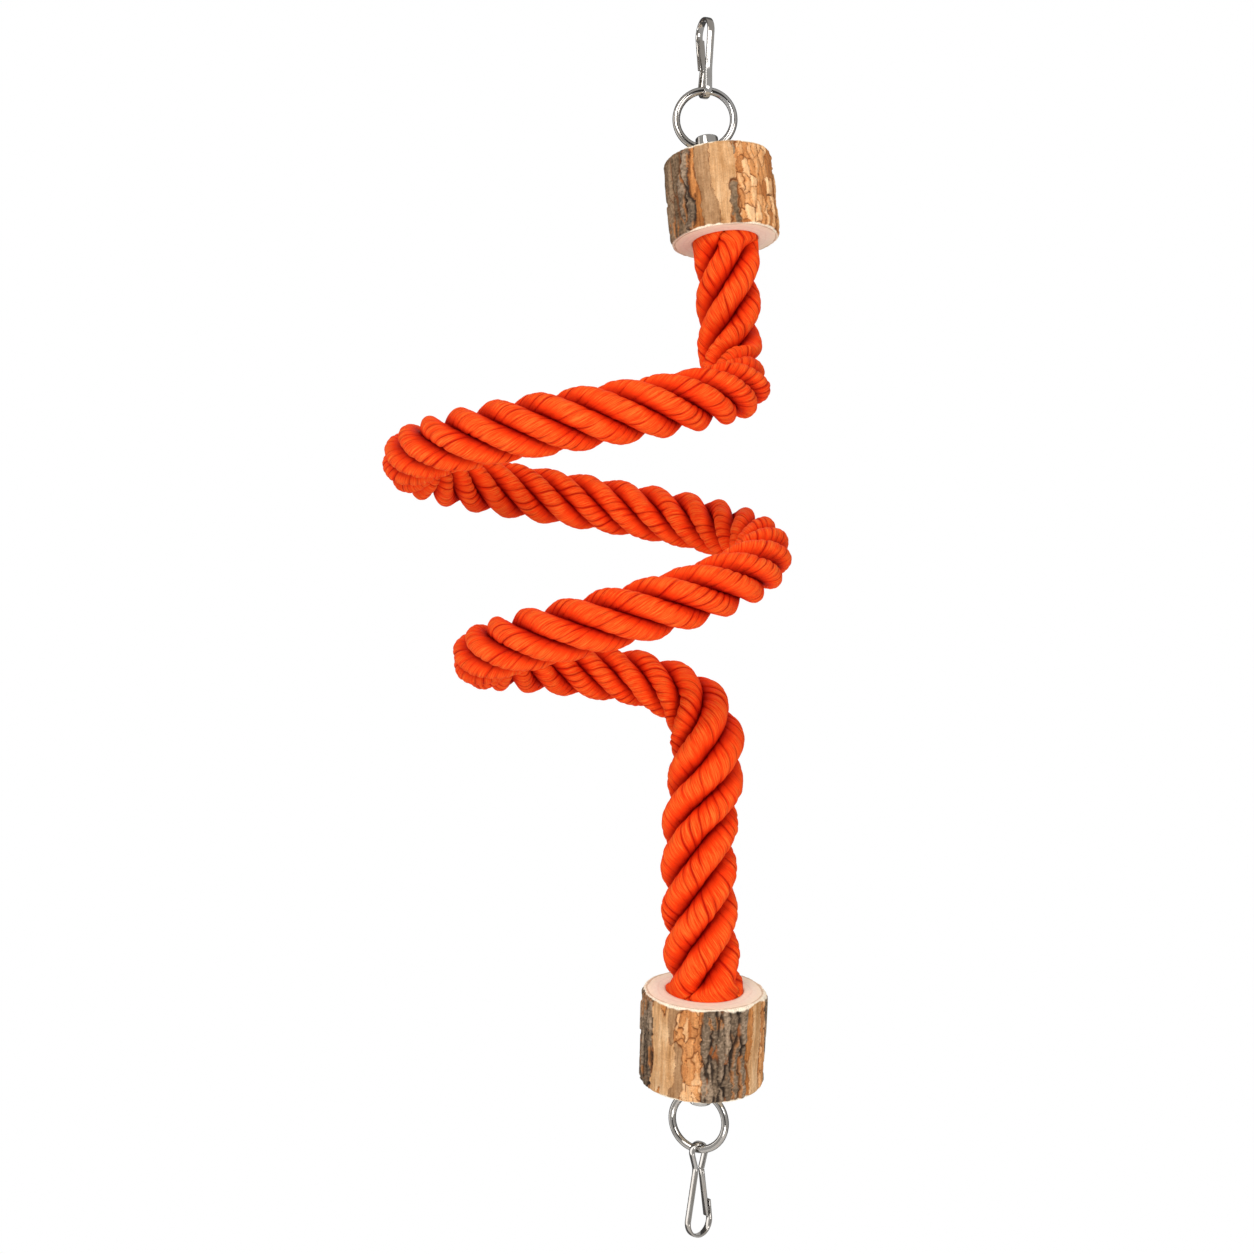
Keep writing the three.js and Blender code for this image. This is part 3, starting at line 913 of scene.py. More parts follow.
        # Neighbours flatten the strand's flanks, and it stays inside the rope's radius.
        lean = minus(turn, times(twist, given["Yarn Turns"]))
        outward = plus(times(radius, given["Spread"]), times(reach, cosine(lean)))
        wedge = w.math("TANGENT", over(math.pi, given["Strands"]))
        limit = minus(times(outward, wedge), given["Meeting Gap"])
        sideways = w.math("MAXIMUM", least(times(reach, sine(lean)), limit), times(limit, -1.0))
        flat = w.run("ShaderNodeCombineXYZ", (outward, sideways))
        squeeze = least(over(radius, w.vector("LENGTH", flat)), 1.0)
        outward, sideways = times(outward, squeeze), times(sideways, squeeze)

        turned = {"Vector": rope["Normal"], "Axis": rope["Tangent"], "Angle": plus(twist, given["Phase"])}
        out = w.run("ShaderNodeVectorRotate", turned, rotation_type="AXIS_ANGLE")
        beside = w.vector("CROSS_PRODUCT", rope["Tangent"], out)
        offset = w.vector("ADD", w.vector("SCALE", out, outward), w.vector("SCALE", beside, sideways))
        place = w.vector("ADD", rope["Position"], offset)
        mesh = w.run("GeometryNodeSetPosition", {"Geometry": mesh, "Position": place})

        fibre = w.run("ShaderNodeCombineXYZ", (cosine(turn), sine(turn), travelled))
        # The crown height and groove depth also steer the rope's painted highlight and painted shade.
        crown = over(w.vector("LENGTH", offset), radius)
        shallow = minus(1.0, groove)
        kept = (("fibre", "FLOAT_VECTOR", fibre), ("crown", "FLOAT", crown), ("groove", "FLOAT", shallow))
        for name, kind, value in kept:
            inputs = {"Geometry": mesh, "Name": name, "Value": value}
            mesh = w.run("GeometryNodeStoreNamedAttribute", inputs, data_type=kind, domain="POINT")
        mesh = w.run("GeometryNodeSetShadeSmooth", {"Geometry": mesh})
        mesh = w.run("GeometryNodeRealizeInstances", {"Geometry": mesh})
        mesh = w.run("GeometryNodeSetMaterial", {"Geometry": mesh, "Material": given["Material"]})
        w.add("NodeGroupOutput", {"Strand": mesh})


@dataclass
class LaidRope(Piece):
    """The rope: strands laid right-handed round a core wire, held by both blocks.

    Attributes:
        route: The rope's middle line.
        strands: Number of strands.
        turned: Angle of the first strand at the rope's upper end, in degrees.
        bend_start: Where the rope starts to move with the lower block; not used.
        bend_end: Where it moves with the lower block alone; not used.
        nodes: The CAD nodes its strands stand for.
        core_node: The CAD node of the core wire.
        core_diameter: Diameter of the core wire.
        core_sides: Number of sides of the core wire.
        path_step: Every how many points of the route describe the cord; not used.
    """

    route: RopeRoute = RopeRoute()
    strands: int = 4
    turned: float = 18.0
    bend_start: Triple = (0.0, 0.0, -0.300)
    bend_end: Triple = (0.0, 0.0, -0.660)
    nodes: tuple[str, ...] = ("rope_upper_stretch", "rope_coil", "rope_lower_stretch")
    core_node: str = "core_wire"
    core_diameter: float = 0.006
    core_sides: int = 10
    path_step: int = 4

    def core(self, points: Array) -> Object:
        """Sweeps the core wire, which ends just inside the rope's ends.

        Args:
            points: The rope's middle line.

        Returns:
            The new object.
        """
        line = points[1:-1]
        side, rows = np.array([1.0, 0.0, 0.0]), []
        for place, way in zip(line, unit(np.gradient(line, axis=0))):
            side = unit(side - way * side.dot(way))
            ray = circle(self.core_sides) @ np.stack([side, np.cross(way, side)])
            rows.append(place + self.core_diameter / 2 * ray)
        return skin("rope_core_wire", np.stack(rows), PLATED)

    def build(self) -> list[Object]:
        """Lays the strands along the route, round the core wire.

        Returns:
            The strands, and the core wire last.
        """
        points, lay = self.route.line()
        tree = StrandTree()
        edges = [(i, i + 1) for i in range(len(points) - 1)]
        made = []
        for index in range(self.strands):
            strand = add_mesh(f"rope_strand_{index + 1}", points, edges, [])
            store(strand, "lay", "FLOAT_VECTOR", lay)
            store(strand, "pressed", "FLOAT", self.route.pressed(lay[:, 2]))
            modifier = strand.modifiers.new("laid strand", "NODES")
            modifier.node_group = tree.tree
            phase = math.radians(self.turned) + FULL_TURN * index / self.strands
            sizes = {"Phase": phase, "Strands": float(self.strands), "Material": ROPE.material()}
            for label, value in sizes.items():
                modifier[tree.sockets[label]] = value
            plain_mesh(strand)
            turn_out(strand.data)
            made.append(strand)
        return [*made, self.core(points)]

    def dress(self, made: list[Object]) -> None:
        """Args:
            made: The objects from build.
        """
        points, lay = self.route.line()
        for part in made:
            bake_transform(part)
        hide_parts(*self.nodes)
        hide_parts(self.core_node)


@dataclass
class Ring(RigidPiece):
    """A welded ring of round wire.

    Attributes:
        radius: Radius of the wire's middle line.
        wire: Thickness of the wire.
        steps: Number of steps round the ring.
        sides: Number of sides of the wire.
    """

    radius: float = RING_RADIUS
    wire: float = 0.007
    steps: int = 160
    sides: int = 36

    def build(self) -> list[Object]:
        """Sweeps the wire round the ring.

        Returns:
            The ring.
        """
        across, up = self.wire / 2 * circle(self.sides).T
        rows = raised(circle(self.steps)[:, None] * (self.radius + across)[:, None], up)
        return [skin(f"{self.nodes[0]}_wire", self.place.out(rows), POLISHED, ring=True)]


@dataclass
class SnapHook(RigidPiece):
    """A snap hook bent from flat spring wire, with its free leg as a gate.

    Its frame is at the eye's end, X to the gate's side and Z square to the hook's plane.

    Attributes:
        length: From the eye's end to the bow's end.
        back_waist: From the hook's middle to the back leg's, at the waist.
        gate_waist: The same to the gate.
        tip_reach: From the bow's end back to the tip's end.
        tip_lean: How far the tip leans towards the hook's middle, in degrees.
        thickness: Thickness of the wire.
        width: Width of the wire.
        corner: Radius of the wire's corners.
        crown: How far the wire's wide faces are crowned.
        eye_radius: Radius of the eye's middle line.
        eye_centre: From the eye's end to its middle.
        waist_from_eye: From the eye's end to the waist.
        waist_bend: Length of the back leg's bend, each side of the waist.
        stub: Length of the straight wire at the gate's hinge, on each side.
        bow_radius: Radius of the bow's middle line.
        gate_reach: From the bow's end back to the gate's end.
        hinge_gap: Gap at the gate's hinge.
        tip_gap: Gap between the gate and the tip.
        end_length: Length of the worn edge at the wire's ends.
        worn_end: Size of the section at the very end.
        step: Angle of a step along a bend, in degrees.
        bend_steps: Number of steps along the waist's bend.
        face_steps: Number of steps across a wide face.
        corner_steps: Number of steps round a corner.
        least_mitre: Least cosine that a mitre allows for.
    """

    length: float
    back_waist: float
    gate_waist: float
    tip_reach: float
    tip_lean: float
    thickness: float = 0.0028
    width: float = 0.0065
    corner: float = 0.0006
    crown: float = 0.0002
    eye_radius: float = 0.0081
    eye_centre: float = 0.0095
    waist_from_eye: float = 0.0257
    waist_bend: float = 0.004
    stub: float = 0.001
    bow_radius: float = 0.0134
    gate_reach: float = 0.018
    hinge_gap: float = 0.0005
    tip_gap: float = 0.0005
    end_length: float = 0.0003
    worn_end: float = 0.85
    step: float = 4.0
    bend_steps: int = 8
    face_steps: int = 8
    corner_steps: int = 4
    least_mitre: float = 0.5

    def arc(self, centre: float, radius: float, first: float, last: float) -> Array:
        """Follows a circle on the hook's middle, its centre given from the eye's end, between two angles."""
        angle = np.linspace(first, last, math.ceil(abs(last - first) / math.radians(self.step)) + 1)
        return np.stack([radius * np.cos(angle), centre + radius * np.sin(angle)], axis=1)

    @staticmethod
    def touch(point: Array, centre: float, radius: float) -> float:
        """Finds the angle at which a line from a point touches a circle on the hook's middle."""
        away = np.array([0.0, centre]) - point
        return math.atan2(-away[1], -away[0]) - math.acos(radius / float(np.linalg.norm(away)))

    def bow_centre(self) -> float:
        """Finds the distance of the bow's middle from the eye's end."""
        return self.length - self.thickness / 2 - self.bow_radius

    def tip_point(self, at: float) -> Array:
        """Finds the point on the tip's middle line at some distance from the eye's end."""
        lean = math.radians(self.tip_lean)
        return np.array([self.bow_radius / math.cos(lean) - (self.bow_centre() - at) * math.tan(lean), at])

    def body_line(self) -> Array:
        """Follows the fixed wire: eye, waist, back leg, bow and tip.

        Returns:
            Points of its middle line.
        """
        start = np.array([self.gate_waist, self.waist_from_eye])
        out = start - (0, self.stub)
        inner = np.array([-self.back_waist, self.waist_from_eye])
        first = self.touch(out, self.eye_centre, self.eye_radius)
        last = self.touch(inner * (-1, 1), self.eye_centre, self.eye_radius)
        eye = self.arc(self.eye_centre, self.eye_radius, first, -math.pi - last)
        centre = self.bow_centre()
        leg = self.touch(inner, centre, self.bow_radius) + FULL_TURN
        bow = self.arc(centre, self.bow_radius, leg, -math.radians(self.tip_lean))
        before, after = (inner + unit(end - inner) * self.waist_bend for end in (eye[-1], bow[0]))
        part = np.linspace(0, 1, self.bend_steps + 1)[:, None]
        bend = (1 - part) ** 2 * before + 2 * part * (1 - part) * inner + part**2 * after
        return np.vstack([[start, out], eye, bend, bow, self.tip_point(self.length - self.tip_reach)])

    def gate_line(self) -> Array:
        """Follows the free leg from the waist to its end inside the tip.

        Returns:
            Points of its middle line.
        """
        start = self.waist_from_eye + self.hinge_gap
        inside = (self.thickness + self.tip_gap) / math.cos(math.radians(self.tip_lean))
        end = self.tip_point(self.length - self.gate_reach) - (inside, 0)
        return np.array([(self.gate_waist, start), (self.gate_waist, start + self.stub), end])

    def section(self) -> Array:
        """Draws the wire's section with rounded corners and slightly crowned faces.

        Returns:
            Points round the section: across the wire, and along its width.
        """
        half = self.width / 2 - self.corner
        share = np.linspace(-1, 1, self.face_steps + 1)[1:-1]
        face = np.stack([self.thickness / 2 - self.crown * share**2, half * share], axis=1)
        quarter = np.linspace(0, math.pi / 2, self.corner_steps + 1)
        bend = self.corner * np.stack([np.cos(quarter), np.sin(quarter)], axis=1)
        corner = bend + (self.thickness / 2 - self.crown - self.corner, half)
        side = np.vstack([(corner * (1, -1))[::-1], face, corner])
        return np.vstack([side, -side])

    def strip(self, name: str, line: Array) -> Object:
        """Sweeps the wire's section along a line.

        Args:
            name: The object's name.
            line: The wire's middle line.

        Returns:
            The new object.
        """
        first, last = (line[a] + unit(line[b] - line[a]) * self.end_length for a, b in ((0, 1), (-1, -2)))
        line = np.vstack([line[0], first, line[1:-1], last, line[-1]])
        back = unit(np.diff(line, axis=0, prepend=2 * line[:1] - line[1:2]))
        ahead = unit(np.diff(line, axis=0, append=2 * line[-1:] - line[-2:-1]))
        along = unit(back + ahead)
        mitre = np.maximum((along * ahead).sum(axis=1, keepdims=True), self.least_mitre)
        size = np.ones((len(line), 1))
        size[[0, -1]] = self.worn_end
        side = along[:, ::-1] * (-1, 1) / mitre * size
        across, depth = self.section().T
        rows = raised(line[:, None] + side[:, None] * across[:, None], size * depth)
        return skin(name, self.place.out(rows), POLISHED)

    def build(self) -> list[Object]:
        """Bends the fixed wire and the gate."""
        lines = (self.body_line(), self.gate_line())
        return [self.strip(f"{body}_wire", line) for body, line in zip(self.bodies, lines)]


@dataclass
class Stud(RigidPiece):
    """A stud with a barrel head, and a cross hole for the ring.

    Its frame is its block's, with the rope's face at 0.

    Attributes:
        block_height: Height of the block.
        offset: Distance from the block's axis.
        head_radius: Radius of the barrel.
        shank_radius: Radius of the shank.
        seat_gap: Gap between the barrel and the block.
        hole_height: Height of the cross hole over the block.
        cap_wall: Steel over the cross hole's mouth.
        edge: Radius of the barrel's upper edge.
        bevel: Size of its lower edge.
        shank_below: Length of the shank in the rope's socket.
        ring_inside: Radius that the ring's wire leaves free, with some room for it.
        overcut: How far the hole's cutter stands out of the barrel.
        sharp: Least angle of a sharp edge, in degrees.
        sides: Number of sides.
        edge_steps: Number of steps round the upper edge.
        hole_steps: Number of steps along the hole.
    """

    block_height: float
    offset: float
    head_radius: float = 0.0105
    shank_radius: float = 0.006
    seat_gap: float = 0.0003
    hole_height: float = 0.0128
    cap_wall: float = 0.0033
    edge: float = 0.0015
    bevel: float = 0.0005
    shank_below: float = 0.0191
    ring_inside: float = 0.0227
    overcut: float = 0.001
    sharp: float = 35.0
    sides: int = 72
    edge_steps: int = 6
    hole_steps: int = 16

    def hole_radius(self, along: float | Array) -> Array:
        """Finds the hole's radius at some distance from its middle, where it follows the ring's wire."""
        return RING_RADIUS - np.sqrt(self.ring_inside**2 - along**2)

    def turned(self, name: str, radius: Array, height: Array) -> Object:
        """Turns a profile round the Z axis."""
        return skin(name, raised(radius[:, None, None] * circle(self.sides), height[:, None]), POLISHED)

    def build(self) -> list[Object]:
        """Turns the stud and cuts its cross hole.

        Returns:
            The stud.
        """
        seat = self.block_height + self.seat_gap
        hole = self.block_height + self.hole_height
        top = hole + float(self.hole_radius(self.head_radius)) + self.cap_wall
        tail = self.block_height - SOCKET_WEB - self.shank_below
        quarter = np.linspace(0, math.pi / 2, self.edge_steps + 1)
        radius = [self.shank_radius] * 2 + [self.head_radius - self.bevel, self.head_radius]
        radius = np.concatenate([radius, self.head_radius - self.edge * (1 - np.cos(quarter))])
        height = [tail, seat, seat, seat + self.bevel]
        height = np.concatenate([height, top - self.edge * (1 - np.sin(quarter))])
        part = self.turned(f"{self.nodes[0]}_barrel", radius, height)

        reach = self.head_radius + self.overcut
        along = np.linspace(-reach, reach, self.hole_steps + 1)
        cutter = self.turned("cross_hole_cutter", self.hole_radius(along), along)
        cutter.data.transform(Matrix.Translation((0, 0, hole)) @ Matrix.Rotation(math.pi / 2, 4, "Y"))
        cut = part.modifiers.new("cross hole", "BOOLEAN")
        cut.operation, cut.solver, cut.object = "DIFFERENCE", "EXACT", cutter
        plain_mesh(part)
        bpy.data.objects.remove(cutter)
        points = np.empty(3 * len(part.data.vertices))
        part.data.vertices.foreach_get("co", points)
        points = self.place.out(points.reshape(-1, 3) + (self.offset, 0, 0))
        part.data.vertices.foreach_set("co", points.ravel())
        part.data.set_sharp_from_angle(angle=math.radians(self.sharp))
        return [part]


@dataclass(frozen=True)
class BarkLook:
    """How one kind of bark or bare wood looks.

    Attributes:
        dark: Its dark colour, each part from 0 to 255.
        middle: Its middle colour.
        light: Its light colour.
        level: Its height over the mean wall, in millimetres.
        spread: How far its plates differ in height, in millimetres.
        border: Width of the crack where it meets another kind, in millimetres.
        split: Width of the cracks between its own plates, in millimetres.
        mixture: Shares of plates, streaks, patches and grains in its tone.
    """

    dark: Shade
    middle: Shade
    light: Shade
    level: float
    spread: float
    border: float
    split: float
    mixture: Span


class Bark(Enum):
    """What the wall of a log slice shows."""

    GREY = BarkLook(
        dark=(72, 57, 43), middle=(118, 97, 76), light=(166, 141, 116),
        level=1.2, spread=1.4, border=1.8, split=2.0, mixture=(0.6, 0.2, 0.5, 0.8),
    )
    MOSS = BarkLook(
        dark=(80, 60, 39), middle=(129, 104, 78), light=(170, 139, 107),
        level=0.8, spread=0.8, border=1.6, split=1.2, mixture=(0.6, 0.2, 0.5, 0.6),
    )
    ORANGE = BarkLook(
        dark=(128, 69, 25), middle=(174, 108, 51), light=(214, 145, 84),
        level=-0.6, spread=0.5, border=0.8, split=0.3, mixture=(0.6, 0.7, 0.5, 0.2),
    )
    TAN = BarkLook(
        dark=(132, 92, 54), middle=(166, 124, 84), light=(196, 155, 113),
        level=0.0, spread=0.15, border=0.6, split=0.0, mixture=(0.2, 0.8, 0.4, 0.25),
    )
    PALE = BarkLook(
        dark=(170, 118, 66), middle=(204, 155, 106), light=(230, 190, 145),
        level=0.0, spread=0.15, border=0.6, split=0.0, mixture=(0.2, 0.8, 0.4, 0.2),
    )
    FLAKE = BarkLook(
        dark=(172, 103, 50), middle=(214, 148, 89), light=(240, 194, 143),
        level=0.4, spread=1.6, border=1.0, split=0.7, mixture=(0.9, 0.4, 0.4, 0.2),
    )


class WallNoise:
    """Repeatable random fields on the wall of a log slice, seamless round it. Sizes are in millimetres.

    Attributes:
        jitter: Where a plate's middle may lie in its cell.
        wander: How far the cracks wander, in cells.
        sway: Width and height of the waves in which they wander sideways, in plates.
        heave: The same for up and down.
        ragged: How ragged the cracks are, in cells.
        rag: Width and height of a rag.
        least_slope: Keeps flat places from counting as far from a crack.
    """

    jitter: Pair = (0.08, 0.92)
    wander: float = 0.3
    sway: Pair = (1.5, 0.4)
    heave: Pair = (1.0, 0.6)
    ragged: float = 0.16
    rag: Pair = (3, 4)
    least_slope: float = 0.06

    def __init__(self, seed: int, turn: Array, rise: Array, girth: float, height: float) -> None:
        """Starts the random numbers.

        Args:
            seed: Fixed seed.
            turn: Place round the wall of each point, 0 to 1.
            rise: Place up the wall of each point, 0 to 1.
            girth: Length round the wall.
            height: Height of the wall.
        """
        self.random = np.random.default_rng(seed)
        self.turn, self.rise = turn, rise
        self.girth, self.height = girth, height

    def waves(self, width: float, height: float) -> Array:
        """Makes a smooth field.

        Args:
            width: Width of its waves.
            height: Height of its waves.

        Returns:
            Values from -1 to 1.
        """
        across, up = max(round(self.girth / width), 3), max(round(self.height / height), 1)
        lattice = self.random.uniform(-1, 1, (up + 2, across))
        x, y = self.turn * across, self.rise * up
        column, row = np.floor(x).astype(int), np.floor(y).astype(int)
        u, v = ease(0, 1, x - column), ease(0, 1, y - row)
        near, far = column % across, (column + 1) % across
        low, high = (lattice[i, near] * (1 - u) + lattice[i, far] * u for i in (row, row + 1))
        return low * (1 - v) + high * v

    def plates(self, width: float, height: float) -> tuple[Array, Array, Array, Array]:
        """Splits the wall into plates.

        Args:
            width: Width of a plate.
            height: Height of a plate.

        Returns:
            Distance from the nearest crack, a random value for each plate, and the place round the wall of
            the plate's middle and of its neighbour's.
        """
        across, up = round(self.girth / width), round(self.height / height)
        shift = self.random.uniform(*self.jitter, (up + 4, across, 2))
        value = self.random.uniform(0, 1, (up + 4, across))
        sway, heave = ((wide * width, tall * height) for wide, tall in (self.sway, self.heave))
        x = self.turn * across + self.wander * self.waves(*sway)
        x = x + self.ragged * self.waves(*self.rag)
        y = self.rise * up + 1 + self.wander * self.waves(*heave)
        column, row = np.floor(x).astype(int), np.floor(y).astype(int)
        nearest, second = np.full(x.shape, np.inf), np.full(x.shape, np.inf)
        chosen, middle, beside = np.zeros((3, *x.shape))
        for i, j in np.ndindex(3, 3):
            a, b = np.clip(row + i - 1, 0, up + 3), (column + j - 1) % across
            distance = np.hypot(column + j - 1 + shift[a, b, 0] - x, row + i - 1 + shift[a, b, 1] - y)
            spot = (b + shift[a, b, 0]) / across
            closer = distance < nearest
            next_best = ~closer & (distance < second)
            beside = np.where(closer, middle, np.where(next_best, spot, beside))
            second = np.where(closer, nearest, np.where(next_best, distance, second))
            chosen, middle = np.where(closer, value[a, b], chosen), np.where(closer, spot, middle)
            nearest = np.where(closer, distance, nearest)
        gap = second - nearest
        rows, columns = x.shape
        around = (np.roll(gap, -1, 1) - np.roll(gap, 1, 1)) / 2 * columns / self.girth
        slope = np.hypot(around, np.gradient(gap, axis=0) * (rows - 1) / self.height)
        return gap / np.maximum(slope, self.least_slope), chosen, middle, beside


@dataclass
class LogSlice(RigidPiece):
    """A slice of log with bark, the rope's socket and the stud's hole.

    Its frame has the rope's face at 0. Sizes and waves of its bark are in millimetres, width before height.

    Attributes:
        diameter: Its diameter.
        height: Its height.
        rope_diameter: Diameter of the rope in its socket.
        stud_offset: Distance of the stud from its axis.
        left: Local angle of the viewer's left edge, in degrees.
        way: 1 if local angles grow from there towards the viewer, or -1.
        strips: What the wall shows, each from an angle in degrees from the viewer's left edge on.
        seed: Fixed seed of its random shapes.
        bare_rims: How far the bark is chipped off at the rope's end and at the outer end, in rims.
        plate: Size of a plate of bark.
        flake: Size of a flake of bark.
        crack_shades: Colours of the torn bark at a crack, of open wood in it and of its shadow.
        crack_waves: Waves of the cracks' width.
        crack_widths: Factors on a crack's width: the mean, how far it varies, the least and the greatest.
        crack_side: Where the side of a crack starts and ends, over its width.
        crack_depth: Depth of a crack.
        crack_share: How far a crack covers the bark's colour.
        least_widths: Least width that counts for a crack's side and for the torn bark beside it.
        streak_waves: Waves of the fine and the broad streaks.
        streak_height: Height of the streaks.
        patch_waves: Waves of the broad and the small patches.
        patch_shares: Their shares.
        grain_waves: Waves of the grains.
        torn_waves: Waves of the torn bark.
        torn_range: Values of those waves between which it comes up.
        torn_reach: Where it starts to fade beside a crack and where it ends, over the crack's width.
        torn_share: How far torn bark covers the bark's colour.
        open_waves: Waves of the open wood in the cracks.
        open_range: Values of those waves between which it comes up.
        open_share: Least share of it under thin bark.
        thin: Height under which bark is thin.
        plate_rise: How far a plate of bark rises from its edge, and over what width.
        chip_waves: Waves of the chipped rims.
        chip_shares: Their shares.
        chip_range: Least and greatest factor on a chip's size.
        chip_edge: Where the bark starts and where it is whole, over the chip's size.
        rope_fit: Room round the rope in its socket.
        bolt_radius: Radius of the stud's hole.
        rim: Width of the worn rims.
        rim_drop: How far the rims are worn.
        rim_relief: How much of the bark's relief is left at the very rim.
        rim_fade: Over what width the relief fades there, in rims.
        columns: Number of points round it.
        wall_rows: Number of rows of points up its wall.
        face_rows: Number of rows of points on each sawn face.
        socket_rows: Heights of the rows of points on the socket's wall, over its depth.
    """

    diameter: float
    height: float
    rope_diameter: float
    stud_offset: float
    left: float
    way: int
    strips: dict[float, Bark]
    seed: int
    bare_rims: Pair
    plate: Pair = (7.5, 44.0)
    flake: Pair = (6.0, 17.0)
    crack_shades: tuple[Shade, Shade, Shade] = ((190, 122, 64), (150, 84, 36), (36, 23, 15))
    crack_waves: Pair = (7, 14)
    crack_widths: Span = (0.85, 0.9, 0.12, 1.7)
    crack_side: Pair = (0.3, 1.0)
    crack_depth: float = 2.4
    crack_share: float = 0.92
    least_widths: Pair = (0.01, 0.4)
    streak_waves: tuple[Pair, Pair] = ((1.6, 24), (4.5, 34))
    streak_height: float = 0.25
    patch_waves: tuple[Pair, Pair] = ((12, 14), (5, 5))
    patch_shares: Pair = (0.6, 0.4)
    grain_waves: Pair = (1.5, 1.3)
    torn_waves: Pair = (9, 12)
    torn_range: Pair = (0.0, 0.35)
    torn_reach: Pair = (0.8, 2.2)
    torn_share: float = 0.75
    open_waves: Pair = (6, 10)
    open_range: Pair = (0.35, 0.7)
    open_share: float = 0.55
    thin: float = 1.0
    plate_rise: Pair = (0.9, 3.0)
    chip_waves: tuple[Pair, Pair] = ((16, 400), (5, 400))
    chip_shares: Pair = (1.5, 0.7)
    chip_range: Pair = (0.6, 3.0)
    chip_edge: Pair = (0.35, 0.75)
    rope_fit: float = 0.0006
    bolt_radius: float = 0.0063
    rim: float = 0.003
    rim_drop: float = 0.0016
    rim_relief: float = 0.35
    rim_fade: float = 1.4
    columns: int = 440
    wall_rows: int = 160
    face_rows: int = 14
    socket_rows: Pair = (0.6, 0.2)
    finish: ClassVar[Finish] = LOG_WOOD

    def split(self, noise: WallNoise) -> tuple[Indices, Indices, Array, Array]:
        """Splits the wall into plates of bark, and flaky bark into flakes.

        Args:
            noise: The random fields.

        Returns:
            The kind of bark of each point's plate and of the plate beside it, the distance from the nearest
            crack, and a random value for each plate.
        """
        edge, value, middle, beside = noise.plates(*self.plate)
        order = list(Bark)
        starts = np.array(list(self.strips)) / 360
        kinds = np.array([order.index(bark) for bark in self.strips.values()])
        own, other = (kinds[np.searchsorted(starts, spot, side="right") - 1] for spot in (middle, beside))
        flake_edge, flake, _, _ = noise.plates(*self.flake)
        flaky = own == order.index(Bark.FLAKE)
        near_flake = flaky & (flake_edge < edge)
        value = np.where(flaky, flake, value)
        edge = np.where(flaky & (own == other) | near_flake, flake_edge, edge)
        return own, np.where(near_flake, own, other), edge, value

    @staticmethod
    def tones(own: Indices, parts: Array) -> Array:
        """Colours the bark.

        Args:
            own: The kind of bark at each point.
            parts: Tone of the plates, streaks, patches and grains, each from -1 to 1.

        Returns:
            The colour at each point.
        """
        colour = np.zeros((*own.shape, 3))
        for index, bark in enumerate(Bark):
            look = bark.value
            tone = np.clip(np.tensordot(look.mixture, parts, 1), -1, 1)[..., None]
            shades = (look.dark, look.middle, look.light)
            dark, plain, light = np.array([srgb(*shade)[:3] for shade in shades])
            shade = plain + np.where(tone > 0, light - plain, plain - dark) * tone
            colour = np.where((own == index)[..., None], shade, colour)
        return colour

    def wall(self) -> tuple[Array, Array, Array]:
        """Carves and paints the wall.

        Returns:
            Height of the bark over the mean wall and its colour at each point of the wall, and how far the
            bark is chipped off the ends at each place round it.
        """
        local = np.linspace(0, 1, self.columns, endpoint=False)
        seen = (self.way * (local - self.left / 360)) % 1
        turn, rise = np.meshgrid(seen, np.linspace(0, 1, self.wall_rows))
        girth = MILLIMETRES * math.pi * self.diameter
        noise = WallNoise(self.seed, turn, rise, girth, MILLIMETRES * self.height)
        own, other, edge, value = self.split(noise)
        looks = [bark.value for bark in Bark]
        sizes = [(look.border, look.split, look.level, look.spread) for look in looks]
        border, split, level, spread = np.array(sizes).T
        width = np.where(own == other, split[own], np.maximum(border[own], border[other]))
        mean, change, least, most = self.crack_widths
        width = width * np.clip(mean + change * noise.waves(*self.crack_waves), least, most)
        side, beside = (edge / np.maximum(width, narrowest) for narrowest in self.least_widths)
        crack = 1 - ease(*self.crack_side, side)
        thick, thin = level[own] > 0, level[own] < self.thin

        streak = np.mean([noise.waves(*size) for size in self.streak_waves], axis=0)
        patch = sum(share * noise.waves(*size) for share, size in zip(self.patch_shares, self.patch_waves))
        parts = np.stack([2 * value - 1, streak, patch, noise.waves(*self.grain_waves)])
        colour = self.tones(own, parts)
        under, open_wood, shadow = np.array([srgb(*shade)[:3] for shade in self.crack_shades])
        torn = 1 - ease(*self.torn_reach, beside)
        torn = torn * ease(*self.torn_range, noise.waves(*self.torn_waves)) * thick * self.torn_share
        colour = colour + (under - colour) * torn[..., None]
        bare = np.maximum(ease(*self.open_range, noise.waves(*self.open_waves)), self.open_share * thin)
        depth = shadow + (open_wood - shadow) * bare[..., None]
        colour = colour + (depth - colour) * (self.crack_share * crack)[..., None]

        lift, over = self.plate_rise
        height = level[own] + spread[own] * (value - 0.5) + self.streak_height * streak
        height = height + lift * ease(0, over, edge) * thick - self.crack_depth * crack
        chips = zip(self.chip_shares, self.chip_waves)
        chipped = sum((share * noise.waves(*size)[0] for share, size in chips), 1.0)
        return self.softened(height) / MILLIMETRES, colour, np.clip(chipped, *self.chip_range)

    @staticmethod
    def softened(height: Array) -> Array:
        """Takes the sharpest steps off a height field.

        Args:
            height: The field.

        Returns:
            The softer field.
        """
        for _ in range(2):
            height = 0.5 * height + 0.25 * (np.roll(height, 1, axis=1) + np.roll(height, -1, axis=1))
            inner = 0.5 * height[1:-1] + 0.25 * (height[:-2] + height[2:])
            height = np.vstack([height[:1], inner, height[-1:]])
        return height

